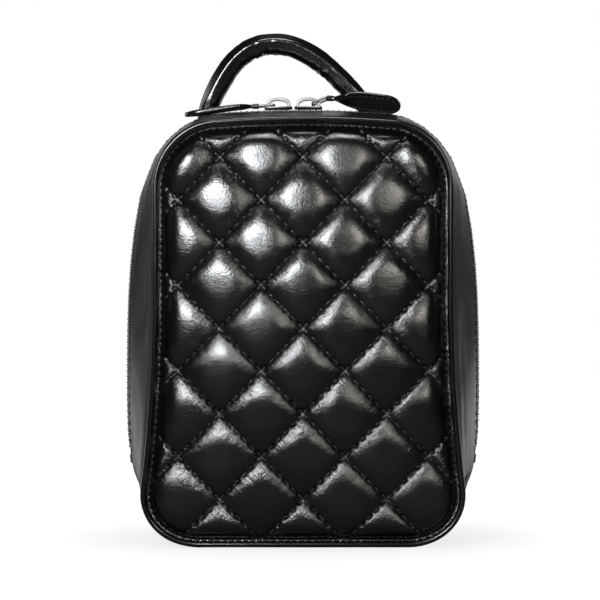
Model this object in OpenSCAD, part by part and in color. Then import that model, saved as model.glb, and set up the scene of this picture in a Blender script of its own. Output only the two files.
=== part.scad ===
// Upright quilted leather jewellery case. A quilted front cover zips to the case round three sides and
// drops forward on the seam along its foot. Millimetres, +Z up, front towards -Y, standing on Z = 0.

/* [Panels] */
// Width over the bindings at the waist of a panel
panel_w = 121; // [114:1:124]
// Height over the bindings at the middle of a panel
panel_h = 173; // [164:1:176]
// Corner radius of the binding
panel_r = 24; // [20:1:27]
// How far each bottom corner of a panel flares outwards
panel_flare = 8; // [2:0.5:10]
// Rise of the arched top edge over the corners
top_arch = 4; // [2:0.5:6]
// Depth of the case over the faces of the two bindings
case_d = 80; // [74:1:92]

/* [Gusset] */
// How much wider the case is at the zip than over the bindings, without the bulge of its sides
zip_wider = 11; // [8:1:15]
// How much higher the case is at the zip than over the bindings
zip_higher = 5.8; // [4:0.2:8]
// Corner radius at the zip
zip_r = 32; // [28:1:35]
// How far each side bulges out at the zip
side_bulge = 7.3; // [2:0.1:10]
// Height of the widest place of the bulge
bulge_z = 66; // [56:1:84]
// Thickness of the gusset leather
leather_t = 1.2; // [1:0.1:1.6]
// Half width of the gap that shows the zip
zip_gap = 4.6; // [4.4:0.1:5.6]

/* [Binding] */
// Width of the binding seen from the front
binding_w = 2.6; // [2:0.1:3.4]
// How far the binding stands in front of the gusset's edge
binding_d = 3.6; // [2.8:0.1:4.4]
// How far the binding stands outside the gusset
binding_proud = 0.6; // [0.3:0.1:0.9]

/* [Quilting] */
// Width of a diamond from corner to corner
diamond_w = 33.4; // [28:0.4:40]
// Height of a diamond from corner to corner
diamond_h = 34.2; // [28:0.4:42]
// Height of a quilted diamond over its stitch lines
puff = 4.6; // [2:0.2:5.2]
// How far the middle of a panel stands in front of its edges
crown = 7; // [0:0.2:9]
// Height above the base of a crossing of stitch lines
stitch_z = 19.6; // [12:0.4:30]
// Width of the recess between the binding and the quilting
recess_w = 1.5; // [0.8:0.1:2]
// Thickness of the foam and backing under the stitch lines
foam_t = 2; // [1.4:0.2:3]

/* [Lining and stiffeners] */
// Thickness of the board behind each panel
board_t = 2; // [1.4:0.2:3]
// Thickness of the stiffener inside each gusset
stiffener_t = 1.4; // [1:0.1:2]
// Thickness of the velvet lining
lining_t = 1.2; // [0.8:0.1:1.6]

/* [Zip] */
// Distance from one tooth to the next on the same tape
tooth_pitch = 2.4; // [2.3:0.1:3]
// Thickness of a tooth along the zip
tooth_t = 0.9; // [0.7:0.05:0.95]
// Height of a tooth
tooth_h = 2.1; // [1.8:0.1:2.3]
// How far a tooth reaches past the middle of the zip
tooth_reach = 1; // [0.6:0.1:1.2]
// Thickness of the zip tape
tape_t = 0.6; // [0.4:0.1:0.8]
// Length of a slider
slider_l = 11.6; // [10.6:0.2:13]
// Width of a slider
slider_w = 7.8; // [7.4:0.1:8.2]
// Thickness of a slider's wings
wing_t = 1; // [0.8:0.1:1.2]
// Height of a slider's bridge over its upper wing
bridge_h = 3.9; // [3.6:0.1:4.6]
// Width of a slider's bridge
bridge_w = 2.4; // [2:0.1:2.8]
// Place along the top where the two sliders meet
sliders_meet = -4; // [-6:0.5:2]
// Gap between the two parked sliders
sliders_gap = 0.8; // [0.6:0.1:2]

/* [Pulls] */
// Thickness of the wire of a pull link
wire_d = 1; // [0.8:0.1:1.1]
// Distance between the end bars of a pull link
link_l = 6.6; // [6:0.2:8]
// Length of a leather pull
pull_l = 31; // [25:1:36]
// Width of a leather pull
pull_w = 10.5; // [8:0.5:12]
// Thickness of a leather pull
pull_t = 2.2; // [1.8:0.1:2.6]

/* [Handle] */
// Distance between the ends of the handle
handle_span = 72; // [62:1:74]
// How far the handle sits to the left of the middle
handle_shift = 6.5; // [2:0.5:8]
// Height of the grip's middle line over its ends
handle_rise = 31.6; // [27:0.4:38]
// How far the top of the grip leans to the left
handle_lean = 6; // [0:0.5:9]
// Thickness of the grip
grip_t = 8.8; // [7.6:0.2:10]
// Width of the grip from front to back
grip_w = 10.4; // [9:0.2:12]
// Diameter of the cord inside the grip
grip_core_d = 5; // [3.6:0.2:5.4]
// Distance of the handle behind the zip
handle_y = 19; // [17:0.5:21]

/* [Inside] */
// Number of ring rolls
ring_rolls_n = 6; // [3:1:6]
// Distance from one ring roll to the next
ring_roll_pitch = 9.8; // [9:0.1:10]
// Length of a ring roll
ring_roll_l = 66; // [50:1:70]
// Height of a ring roll over the lining
ring_roll_h = 15; // [12:0.5:18]
// Thickness of a divider
divider_t = 2.4; // [1.6:0.2:3]
// Height of a divider over the lining
divider_h = 22; // [18:1:24]
// Height above the base of the long divider
divider_z = 72; // [70:1:76]
// Number of necklace hooks
hooks_n = 5; // [3:1:5]
// Distance from one necklace hook to the next
hook_pitch = 19; // [15:1:20]
// Height above the base of the necklace hooks
hooks_z = 146; // [140:1:150]
// Depth of the necklace pocket from its mouth to its foot
pocket_h = 32; // [24:1:38]
// Width of the mirror
mirror_w = 88; // [70:1:92]
// Height of the mirror
mirror_h = 118; // [96:1:122]
// Thickness of the mirror
mirror_t = 1.6; // [1.2:0.2:2.4]
// Width of the mirror's leather frame
mirror_lip = 6; // [5:0.5:8]

/* [Hidden] */

black = "#1a1a1d";
soft_black = "#26242a";
velvet = "#4a4046";
metal = "#b9bbbf";

zip_w = panel_w + zip_wider;
zip_h = panel_h + zip_higher;
fit = 0.1;               // gap between pieces that are sewn or glued together
clear = 0.3;             // gap between soft pieces that move past each other
base_n = 4;              // segments of the flat base
corner_n = 6;            // segments of each rounded corner
side_n = 8;              // segments of each long side
top_n = 8;               // segments of the arched top
zip_from = base_n + corner_n;                  // first point of the zip, at the foot of the right side
zip_to = zip_from + 2 * (side_n + corner_n) + top_n;
outline_n = zip_to + corner_n;
seam_gap = 0.02;         // share of a segment left open where the cover's gusset ends
flare_h = 100;           // the bottom flare fades out at this height
bulge_up = 85;           // the bulge fades out this far above its widest place
bulge_down = 56;         // and this far below it

edge_y = case_d / 2 - binding_d;               // front edge of the gusset
gusset_in = binding_proud + leather_t;         // inset of the gusset's inner face
layer_in = gusset_in + fit;                    // inset of what lies under the gusset
stiffener_in = layer_in + stiffener_t;
lining_out = stiffener_in + fit;
lining_in = lining_out + lining_t;
chain_in = binding_proud + 0.3;                // inset of the middle of the zip's teeth
tape_seam = 9;                                 // half width over the sewn edges of the tapes
tape_edge = 3.05;                              // half gap between the two tapes
tape_bend = 4.2;                               // where the tape starts to rise to the teeth
stiffener_rim = tape_seam + 0.6;
lining_rim = 6;
panel_in = binding_w + recess_w;
panel_back = edge_y - foam_t;
board_back = panel_back - fit - board_t;
floor_y = board_back - fit - lining_t;         // face of the lining inside the case

function lerp(a, b, t) = a + (b - a) * t;
function clamp(v, a, b) = max(a, min(b, v));
function mean(list) = [for (k = [0:2]) ([for (p = list) p[k]] * [for (p = list) 1]) / len(list)];

// ---- outline of the case ----

// How far the gusset has swollen from the binding, 0, to the zip, 1, at depth y.
function swell(y) = pow(clamp((edge_y - abs(y)) / (edge_y - zip_gap), 0, 1), 0.85);

// A rounded rectangle in the XZ plane, from the left end of its base, anticlockwise from the front.
function corner(x, z, r, a, n) = [for (i = [0:n]) [x, z] + r * [cos(a + 90 * i / corner_n), sin(a + 90 * i / corner_n)]];
function edge(p, q, n) = [for (i = [1:n - 1]) lerp(p, q, i / n)];
function rounded(hw, zb, zt, r) = concat(
    [[-hw + r, zb]],
    edge([-hw + r, zb], [hw - r, zb], base_n),
    corner(hw - r, zb + r, r, -90, corner_n),
    edge([hw, zb + r], [hw, zt - r], side_n),
    corner(hw - r, zt - r, r, 0, corner_n),
    edge([hw - r, zt], [-hw + r, zt], top_n),
    corner(-hw + r, zt - r, r, 90, corner_n),
    edge([-hw, zt - r], [-hw, zb + r], side_n),
    corner(-hw + r, zb + r, r, 180, corner_n - 1));

// The outline at depth y, moved in by inset: arched top, flared base corners and bulging sides.
function flare(z, s) = (1 - s) * panel_flare * pow(clamp(1 - z / flare_h, 0, 1), 2);
function bulge(z, s) = s * side_bulge
    * (1 - pow(min(1, abs(z - bulge_z) / (z > bulge_z ? bulge_up : bulge_down)), 3));
function arch(x, hw) = top_arch * (1 - pow(x / hw, 2));
function shaped(p, hw, zt, s) = [
    p[0] * (1 + (flare(p[1], s) + bulge(p[1], s)) / hw),
    p[1] + arch(p[0], hw) * clamp(2 * p[1] / zt - 1, 0, 1)];
function outline(y, inset) = let(s = swell(y),
    hw = lerp(panel_w, zip_w, s) / 2 - inset,
    zt = lerp(panel_h, zip_h, s) - top_arch - inset,
    zb = max(0, inset - binding_proud),
    r = lerp(panel_r, zip_r, s) - inset)
    [for (p = rounded(hw, zb, zt, r)) shaped(p, hw, zt, s)];

// A point of the outline at a fractional place k along it, in three dimensions.
function along(points, k, y) = let(i = floor(k), p = lerp(points[i % outline_n], points[(i + 1) % outline_n], k - i))
    [p[0], y, p[1]];

// Height of the top of the outline at x and depth y, on the flat part between its corners.
function top_z(x, y, inset) = let(s = swell(y), hw = lerp(panel_w, zip_w, s) / 2 - inset,
    r = lerp(panel_r, zip_r, s) - inset, over = max(0, abs(x) - (hw - r)))
    lerp(panel_h, zip_h, s) - top_arch - inset + arch(x, hw) - (r - sqrt(r * r - over * over));

// ---- skins ----

function quad(a, b, c, d) = [[a, b, c], [a, c, d]];
function rows_faces(m, n, closed) = [for (i = [0:m - (closed ? 1 : 2)], j = [0:n - 1])
    each quad(i * n + j, i * n + (j + 1) % n, (i + 1) % m * n + (j + 1) % n, (i + 1) % m * n + j)];

// A closed ring of rows, such as a binding.
module ring_skin(rows) polyhedron([for (r = rows) each r], rows_faces(len(rows), len(rows[0]), true));

// Rows closed at both ends by a fan round their middles, such as a plate or a rod.
module fan_skin(rows) {
    m = len(rows);
    n = len(rows[0]);
    polyhedron(concat([for (r = rows) each r], [mean(rows[0]), mean(rows[m - 1])]),
        concat(rows_faces(m, n, false),
            [for (j = [0:n - 1]) each [[m * n, (j + 1) % n, j], [m * n + 1, (m - 1) * n + j, (m - 1) * n + (j + 1) % n]]]));
}

// Rows of a thin strip, whose outer points run out and whose inner points run back, closed rung by rung.
// Both halves are split along the same diagonals, so that one layer lies flat on the next.
module strip_skin(rows) {
    m = len(rows);
    n = len(rows[0]);
    last = (m - 1) * n;
    polyhedron([for (r = rows) each r],
        concat([for (i = [0:m - 2], j = [0:n - 1]) let(k = (j + 1) % n, a = i * n + j, b = i * n + k, c = b + n, d = a + n)
                each j < n / 2 ? quad(a, b, c, d) : quad(b, c, d, a)],
            [for (i = [0:n / 2 - 2]) each concat(quad(i, n - 1 - i, n - 2 - i, i + 1),
                quad(last + i, last + i + 1, last + n - 2 - i, last + n - 1 - i))]));
}

// A profile is a list of [inset, depth] for the back half; side is 1 for the back and -1 for the front.
function turned(profile, side) = [for (i = [0:len(profile) - 1])
    let(p = profile[side > 0 ? i : len(profile) - 1 - i]) [p[0], side * p[1]]];
module band(profile, side) ring_skin([for (p = turned(profile, side)) let(o = outline(p[1], p[0]))
    [for (k = [outline_n - 1:-1:0]) along(o, k, p[1])]]);
module plate(profile, side) fan_skin([for (p = turned(profile, side)) let(o = outline(p[1], p[0]))
    [for (k = [outline_n - 1:-1:0]) along(o, k, p[1])]]);
module strip(profile, side, places) {
    outlines = [for (p = turned(profile, side)) [outline(p[1], p[0]), p[1]]];
    strip_skin([for (k = places) [for (o = outlines) along(o[0], k, o[1])]]);
}
function layer(outer, inner, depths) = concat([for (y = depths) [outer, y]],
    [for (i = [len(depths) - 1:-1:0]) [inner, depths[i]]]);

// Every layer shares these depths, so that each follows the one outside it.
side_rows = [stiffener_rim, 18, 26, floor_y - fit, board_back - fit, panel_back - fit];
function rows_to(depth) = [for (y = side_rows) if (y <= depth + 0.01) y];
function both_ways(depths) = concat([for (i = [len(depths) - 1:-1:1]) -depths[i]], [0], [for (i = [1:len(depths) - 1]) depths[i]]);
zip_places = concat([zip_from + seam_gap], [for (k = [zip_from + 1:zip_to - 1]) k], [zip_to - seam_gap]);
base_places = [for (k = [zip_to:zip_to + base_n + 2 * corner_n]) k];

// ---- case and cover ----

module gusset(side) color(black)
    strip(layer(binding_proud, gusset_in, concat([zip_gap], side_rows, [edge_y])), side, zip_places);

module base_gusset() color(black)
    strip(layer(binding_proud, gusset_in, both_ways(concat(side_rows, [edge_y]))), 1, base_places);

module stiffener(side) color("#7d6c55")
    strip(layer(layer_in, stiffener_in, side_rows), side, zip_places);

module base_stiffener() color("#7d6c55")
    strip(layer(layer_in, stiffener_in, both_ways(side_rows)), 1, base_places);

module binding(side) color(black) {
    front = edge_y + binding_d;
    band([[0, edge_y + fit / 2], [0, edge_y + binding_d * 0.6], [binding_w * 0.18, edge_y + binding_d * 0.9],
        [binding_w * 0.5, front], [binding_w * 0.82, edge_y + binding_d * 0.9],
        [binding_w, edge_y + binding_d * 0.6], [binding_w, edge_y + fit / 2]], side);
}

module board(side) color("#7d6c55")
    plate([[lining_out, board_back], [lining_out, panel_back - fit]], side);

module lining(side) color(velvet)
    plate([[lining_out, floor_y], [lining_out, board_back - fit]], side);

module side_lining(side) color(velvet)
    strip(layer(lining_out, lining_in, concat([lining_rim], rows_to(floor_y - fit))), side, zip_places);

module base_lining() color(velvet)
    strip(layer(lining_out, lining_in, both_ways(rows_to(floor_y - fit))), 1, base_places);

// ---- quilting ----

quilt_n = 8;             // grid cells from one crossing of stitch lines to the next along a row
cell_w = diamond_w / quilt_n;
cell_h = diamond_h / quilt_n;
quilt_cols = 2 * ceil((panel_w / 2 + panel_flare) / cell_w);
quilt_row0 = -ceil(stitch_z / cell_h);
quilt_rows = ceil(panel_h / cell_h) + 1;

// Height of the quilting at grid place (i, j), counted from a crossing of stitch lines.
function quilt_height(i, j) = puff * pow(abs(sin(180 * (i + j) / quilt_n) * sin(180 * (i - j) / quilt_n)), 0.34);
// Height of the panel's own bow at x and z.
function bow(x, z) = crown * clamp(1 - pow(2 * x / panel_w, 2), 0, 1) * clamp(1 - pow(2 * z / panel_h - 1, 2), 0, 1);
function falls(i, j) = (i + j + 1) % quilt_n == 0 || ((i - j) % quilt_n != 0 && (i + j) % 2 == 0);

module quilting(side) {
    columns = [-quilt_cols / 2:quilt_cols / 2];
    rows = [quilt_row0:quilt_row0 + quilt_rows];
    nc = quilt_cols + 1;
    nr = quilt_rows + 1;
    top = [for (j = rows, i = columns) let(x = i * cell_w, z = stitch_z + j * cell_h)
        [x, side * (edge_y + bow(x, z) + quilt_height(i, j)), z]];
    foot = [for (p = top) [p[0], side * panel_back, p[2]]];
    count = nc * nr;
    cells = [for (j = [0:nr - 2], i = [0:nc - 2]) let(a = j * nc + i)
        each falls(i - quilt_cols / 2, j + quilt_row0)
            ? [[a, a + nc, a + 1], [a + 1, a + nc, a + nc + 1]] : [[a, a + nc, a + nc + 1], [a, a + nc + 1, a + 1]]];
    rim = concat([for (i = [0:nc - 2]) i], [for (j = [0:nr - 2]) j * nc + nc - 1],
        [for (i = [nc - 1:-1:1]) (nr - 1) * nc + i], [for (j = [nr - 1:-1:1]) j * nc]);
    walls = [for (i = [0:len(rim) - 1]) let(a = rim[i], b = rim[(i + 1) % len(rim)])
        each [[a, b, count + b], [a, count + b, count + a]]];
    base = [for (i = [len(rim) - 1:-1:0]) count + rim[i]];
    faces = concat(cells, walls, [for (c = cells) [count + c[2], count + c[1], count + c[0]]]);
    polyhedron(concat(top, foot), side < 0 ? [for (f = faces) [f[2], f[1], f[0]]] : faces);
}

module panel(side) color(black) intersection() {
    quilting(side);
    plate([[panel_in, panel_back - 1], [panel_in, edge_y + 0.6], [panel_in + 1.4, edge_y + puff * 0.62],
        [panel_in + 4.2, edge_y + puff * 0.95 + crown * 0.2], [panel_in + 9, edge_y + puff + crown + 1]], side);
}

// ---- zip ----

module zip_tape(side) color(soft_black)
    strip([[layer_in, tape_seam], [layer_in, tape_bend], [chain_in - tape_t / 2, tape_edge],
        [chain_in + tape_t / 2, tape_edge], [layer_in + tape_t, tape_bend], [layer_in + tape_t, tape_seam]],
        side, zip_places);

chain = [for (k = [zip_from:zip_to]) outline(0, chain_in)[k]];
chain_steps = [for (i = [0:len(chain) - 2]) norm(chain[i + 1] - chain[i])];
chain_at = [for (i = 0, s = 0; i < len(chain); s = s + (i < len(chain_steps) ? chain_steps[i] : 0), i = i + 1) s];
chain_l = chain_at[len(chain_at) - 1];
teeth_n = floor((chain_l - 5 * tooth_pitch) / tooth_pitch);
teeth_start = (chain_l - (teeth_n - 0.5) * tooth_pitch) / 2;

// Places its children at distance s along the middle of the zip: X along it, Z outwards.
module on_chain(s) {
    i = len([for (c = chain_at) if (c <= s) c]) - 1;
    p = lerp(chain[i], chain[i + 1], (s - chain_at[i]) / chain_steps[i]);
    d = chain[i + 1] - chain[i];
    translate([p[0], 0, p[1]]) rotate([0, -atan2(d[1], d[0]), 0]) rotate([180, 0, 0]) children();
}

// One tooth of the back tape, from its foot on the tape to its head past the middle.
tooth_foot = tape_edge - fit / 2;
tooth_shape = [[tooth_foot, -tooth_h * 0.3], [tooth_foot - 0.5, -tooth_h / 2], [0.5, -tooth_h / 2],
    [0.1, -tooth_h * 0.3], [-0.2, -tooth_h / 2], [0.3 - tooth_reach, -tooth_h / 2], [-tooth_reach, -tooth_h / 4],
    [-tooth_reach, tooth_h / 4], [0.3 - tooth_reach, tooth_h / 2], [-0.2, tooth_h / 2], [0.1, tooth_h * 0.3],
    [0.5, tooth_h / 2], [tooth_foot - 0.5, tooth_h / 2], [tooth_foot, tooth_h * 0.3]];
module tooth(side) rotate([90, 0, 90]) translate([0, 0, -tooth_t / 2]) linear_extrude(tooth_t)
    polygon([for (p = tooth_shape) [-side * p[0], p[1]]]);

module zip_teeth(side) color(soft_black)
    for (i = [0:teeth_n - 1]) on_chain(teeth_start + (i + (side > 0 ? 0 : 0.5)) * tooth_pitch) tooth(side);

// A stop clamped on the edge of the tape at each end of the zip.
stop_l = 3.6;
module zip_stops(side) color(soft_black)
    for (s = [stop_l / 2 + 0.6, chain_l - stop_l / 2 - 0.6]) on_chain(s)
        translate([-stop_l / 2, side > 0 ? -tooth_foot : clear / 2, -tooth_h / 2])
            cube([stop_l, tooth_foot - clear / 2, tooth_h]);

// ---- sliders and pulls ----

// Places its children on the zip at x along the arched top: X along the zip, Z outwards from its middle.
module on_top(x) translate([x, 0, top_z(x, 0, chain_in)])
    rotate([0, atan(2 * top_arch * x / pow(zip_w / 2, 2)), 0]) children();

wing_z = tooth_h / 2 + 0.45;                   // underside of the upper wing over the middle of the teeth
slider_x = (slider_l + sliders_gap) / 2;       // from the meeting place to the middle of a slider
left_x = sliders_meet - slider_x;
right_x = sliders_meet + slider_x;
link_clear = 0.55;                             // gap between the bridge and the link's side wires
link_w = bridge_w + 2 * link_clear + wire_d;   // between the middles of the link's side wires

// Outline of a wing: a broad head and a waist towards the tail, for a slider whose head points to -X.
wing_shape = let(l = slider_l / 2, w = slider_w / 2)
    [for (m = [1, -1], p = (m > 0 ? [0:6] : [6:-1:0]))
        let(q = [[-l, 0.42], [-l + 0.9, 0.86], [-l + 2.2, 1], [-l + 4.6, 0.96], [l - 3.6, 0.8], [l - 0.9, 0.8], [l, 0.6]][p])
        [q[0], m * q[1] * w]];

// The bridge seen from the front, highest near the head.
bridge_l = slider_l - 1.4;
function bridge_curve(h, in) = [for (a = [0:12:180]) let(u = cos(a))
    [-(bridge_l / 2 - in) * u, (h - in) * pow(sin(a), 0.62) * (1 + 0.06 * u)]];
module slider() color(metal) {
    difference() {
        translate([0, 0, wing_z]) linear_extrude(wing_t) polygon(wing_shape);
        translate([0, -slider_w / 2, wing_z]) rotate([-9, 0, 0])
            translate([-slider_l, -slider_w, -2 * wing_t]) cube([2 * slider_l, slider_w + 3.4, 2 * wing_t + 0.5]);
    }
    translate([0, bridge_w / 2, wing_z + wing_t]) rotate([90, 0, 0]) linear_extrude(bridge_w)
        polygon(concat(bridge_curve(bridge_h, 0), [for (p = bridge_curve(bridge_h, 1.3)) [-p[0], p[1]]]));
    translate([0, 0, -tooth_h / 2 - 0.4 - wing_t]) linear_extrude(wing_t) polygon(wing_shape);
}

// A link of wire: its first bar lies along Y at the origin and its second at +X.
link_r = 0.9;            // bend at each corner of the link
module wire(l) rotate([90, 0, 0]) translate([0, 0, -l / 2]) cylinder(h = l, d = wire_d, $fn = 24);
module pull_link() color(metal) {
    bar_l = link_w - 2 * link_r;
    side_l = link_l - 2 * link_r;
    for (x = [0, link_l]) translate([x, 0, 0]) wire(bar_l);
    for (y = [-link_w / 2, link_w / 2]) translate([link_l / 2, y, 0]) rotate([0, 0, 90]) wire(side_l);
    for (c = [[link_l, 1, 1, 0], [0, -1, 1, 90], [0, -1, -1, 180], [link_l, 1, -1, 270]])
        translate([c[0] - c[1] * link_r, c[2] * bar_l / 2, 0]) rotate([0, 0, c[3]])
            rotate_extrude(angle = 90, $fn = 48) translate([link_r, 0]) circle(d = wire_d, $fn = 24);
}

// A leather pull folded round the bar at the origin, lying along +X.
pull_neck = link_w - wire_d - clear;
pull_tip = pull_w * 0.62;
pull_shape = let(a = pull_neck / 2, b = pull_w / 2, e = pull_l - pull_tip)
    concat([[0, -a], [3.2, -a], [6.5, -b * 0.82], [10, -b], [e, -b]],
        [for (t = [-75:15:75]) [e + pull_tip * cos(t), b * sin(t)]],
        [[e, b], [10, b], [6.5, b * 0.82], [3.2, a], [0, a]]);
// It droops towards its tip, where it has turned down by the angle droop.
module pull(droop) color(black) difference() {
    curve = [for (i = [0:10]) let(x = (pull_l + 1) * i / 10) [x, -x * x * tan(droop) / (2 * pull_l)]];
    eye = pull_t / 2 + 0.35;
    union() {
        intersection() {
            translate([0, 0, -pull_l / 2]) linear_extrude(pull_l) polygon(pull_shape);
            translate([0, pull_w, 0]) rotate([90, 0, 0]) linear_extrude(2 * pull_w)
                polygon(concat([for (p = curve) p - [0, pull_t / 2]], [for (i = [10:-1:0]) curve[i] + [0, pull_t / 2]]));
        }
        translate([0, pull_neck / 2, 0]) rotate([90, 0, 0]) cylinder(h = pull_neck, r = eye, $fn = 36);
    }
    translate([0, pull_neck, 0]) rotate([90, 0, 0]) cylinder(h = 2 * pull_neck, d = wire_d + 0.12, $fn = 24);
}

// Each pull at rest: tilt of the link, tilt of the pull, roll of both about their length, droop of the pull.
left_rest = [-3, 0, 0, 7];
right_rest = [22, -2, -10, 12];
bar_x = 1.8;             // from the middle of a slider to the link's bar under the bridge
left_bar_z = wing_z + wing_t + clear + wire_d / 2;
right_bar_z = wing_z + wing_t + bridge_h * 0.313;
module left_bar() on_top(left_x) translate([-bar_x, 0, left_bar_z]) rotate([0, 0, 180])
    rotate([left_rest[2], 0, 0]) children();
module right_bar() on_top(right_x) translate([bar_x, 0, right_bar_z]) rotate([right_rest[2], 0, 0]) children();
module at_link_end(rest) translate([link_l * cos(rest[0]), 0, link_l * sin(rest[0])]) rotate([0, -rest[1], 0]) children();

// ---- handle ----

grip_n = 22;             // segments along the grip
grip_sides = 12;         // segments round it
patch_t = 1.2;
patch_out = binding_proud - fit - patch_t;     // inset of a patch's outer face, negative because it stands proud
end_gap = 0.7;           // gap under each end of the grip, so that the handle can tilt
neck_t = 0.7;            // share of the grip's thickness left at each end
neck_w = 0.34;           // share of its width left there
function end_cos(u) = let(dx = handle_span / 2 + 2 * handle_lean * u) dx / norm([dx, 2.2 * handle_rise]);
function end_z(u) = top_z(grip_x(u), handle_y, patch_out) + end_gap + grip_t * neck_t / 2 * end_cos(u);
function grip_x(u) = -handle_shift + u * handle_span / 2 - handle_lean * (1 - u * u);
function grip_z(u) = lerp(end_z(-1), end_z(1), (u + 1) / 2) + handle_rise * (1 - pow(abs(u), 2.2));

// The grip narrows to a neck at each end.
function neck(u, share) = 1 - (1 - share) * pow(abs(u), 12);
function grip_ring(u, t, w) = let(d = [grip_x(u + 0.01) - grip_x(u - 0.01), grip_z(u + 0.01) - grip_z(u - 0.01)],
    n = [-d[1], d[0]] / norm(d))
    [for (k = [0:grip_sides - 1]) let(a = 360 * k / grip_sides, r = t / 2 * cos(a))
        [grip_x(u) + n[0] * r, handle_y + w / 2 * sin(a), grip_z(u) + n[1] * r]];
grip_places = [for (i = [0:grip_n]) let(v = 2 * i / grip_n - 1) v * (1.25 - 0.25 * v * v)];

core_end = 0.9;          // the cord ends short of the necks
core_places = [for (u = grip_places) u * core_end];
module handle_grip() color(black) difference() {
    fan_skin([for (u = grip_places) grip_ring(u, grip_t * neck(u, neck_t), grip_w * neck(u, neck_w))]);
    fan_skin([for (u = concat([-core_end - 0.01], core_places, [core_end + 0.01]))
        grip_ring(u, grip_core_d + 2 * fit, grip_core_d + 2 * fit)]);
}

module handle_core() color("#d8d2c2")
    fan_skin([for (u = core_places) grip_ring(u, grip_core_d, grip_core_d)]);

// A patch sewn on the gusset under each end of the handle.
function place_of(x) = let(hw = lerp(panel_w, zip_w, swell(handle_y)) / 2, r = lerp(panel_r, zip_r, swell(handle_y)),
    flat = hw - r, first = zip_from + side_n + corner_n)
    abs(x) < flat ? first + top_n * (flat - x) / (2 * flat)
        : x > 0 ? first - corner_n * asin(min(1, (x - flat) / r)) / 90
        : first + top_n + corner_n * asin(min(1, (-x - flat) / r)) / 90;
patch_half = 9;          // half length of a patch
patch_w = 17;
module handle_patch(x) color(black) {
    first = place_of(x + patch_half);
    last = place_of(x - patch_half);
    low = handle_y - patch_w / 2;
    high = handle_y + patch_w / 2;
    strip(layer(patch_out, binding_proud - fit, concat([low], [for (y = side_rows) if (y > low && y < high) y], [high])), 1,
        concat([first], [for (k = [ceil(first):floor(last)]) if (k > first + 0.05 && k < last - 0.05) k], [last]));
}

// ---- inside ----

inner_w = panel_w - 2 * lining_in - 1;         // clear width on the lining
rolls_left = -inner_w / 2 + 6;
rolls_foot = 11;
short_x = rolls_left + ring_roll_l + clear + divider_t / 2 + 1;
module ring_rolls() color(velvet)
    for (i = [0:ring_rolls_n - 1]) translate([rolls_left, floor_y - fit, rolls_foot + i * ring_roll_pitch])
        rotate([90, 0, 90]) linear_extrude(ring_roll_l) {
            r = (ring_roll_pitch - clear) / 2;
            translate([-ring_roll_h + r, r]) circle(r = r, $fn = 32);
            translate([-ring_roll_h + r, 0]) square([ring_roll_h - r, 2 * r]);
        }

module divider(low, high) color(velvet) translate([low[0], floor_y - fit - divider_h, low[1]])
    cube([high[0] - low[0], divider_h, high[1] - low[1]]);
module long_divider() divider([-inner_w / 2 + 1, divider_z - divider_t / 2], [inner_w / 2 - 1, divider_z + divider_t / 2]);
module short_divider() divider([short_x - divider_t / 2, lining_in + 1], [short_x + divider_t / 2, divider_z - divider_t / 2 - fit]);

bar_t = 3;
bar_h = 9;
module hook_bar() color(velvet) translate([0, floor_y - fit, hooks_z]) rotate([90, 0, 0]) linear_extrude(bar_t) {
    reach = hook_pitch * (hooks_n - 1) / 2;
    square([2 * reach, bar_h], center = true);
    for (x = [-reach, reach]) translate([x, 0]) circle(d = bar_h, $fn = 40);
}

hook_d = 2;
hook_bend = 3;
hook_l = 6;              // straight part, from the bar to the bend
hook_tip = 2;            // straight part after the bend
module hook() {
    rotate([90, 0, 0]) cylinder(h = 0.8, d = 2.5 * hook_d, $fn = 32);
    rotate([90, 0, 0]) cylinder(h = hook_l, d = hook_d, $fn = 24);
    translate([0, -hook_l, hook_bend]) rotate([90, 0, 90]) rotate([0, 0, 180]) rotate_extrude(angle = 90, $fn = 48)
        translate([hook_bend, 0]) circle(d = hook_d, $fn = 24);
    translate([0, -hook_l - hook_bend, hook_bend]) cylinder(h = hook_tip, d = hook_d, $fn = 24);
    translate([0, -hook_l - hook_bend, hook_bend + hook_tip]) sphere(d = hook_d * 1.35, $fn = 24);
}
module necklace_hooks() color(metal)
    for (i = [0:hooks_n - 1]) translate([(i - (hooks_n - 1) / 2) * hook_pitch, floor_y - fit - bar_t - fit / 2, hooks_z]) hook();

// An elastic pocket, open at its mouth, that catches the ends of the necklaces.
pocket_wall = 1;
pocket_d = 9;
pocket_foot = divider_z + divider_t / 2 + 2;
module necklace_pocket() color(velvet) translate([0, floor_y - fit, pocket_foot]) difference() {
    translate([-inner_w / 2 + 5, -pocket_d, 0]) cube([inner_w - 10, pocket_d, pocket_h]);
    translate([-inner_w / 2 + 5 + pocket_wall, -pocket_d + pocket_wall, pocket_wall])
        cube([inner_w - 10 - 2 * pocket_wall, pocket_d - 2 * pocket_wall, pocket_h]);
}

mirror_z = (panel_h + lining_in) / 2;
frame_t = mirror_t + 1.6;
module card(w, h, r, t) rotate([90, 0, 0]) linear_extrude(t) {
    square([w - 2 * r, h], center = true);
    square([w, h - 2 * r], center = true);
    for (x = [r - w / 2, w / 2 - r], y = [r - h / 2, h / 2 - r]) translate([x, y]) circle(r = r, $fn = 40);
}
frame_y = -floor_y + fit;
module mirror_frame() color(soft_black) translate([0, frame_y + frame_t, mirror_z]) difference() {
    card(mirror_w + mirror_lip, mirror_h + mirror_lip, 9, frame_t);
    translate([0, 1, 0]) card(mirror_w - mirror_lip, mirror_h - mirror_lip, 5, frame_t + 2);
    translate([0, mirror_t - frame_t + fit, 0])
        card(mirror_w + 2 * fit, mirror_h + 2 * fit, 6, mirror_t + 1 + fit);
}
module mirror_glass() color("#dfe6ea") translate([0, frame_y + mirror_t + fit / 2, mirror_z])
    card(mirror_w, mirror_h, 6, mirror_t);

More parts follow.
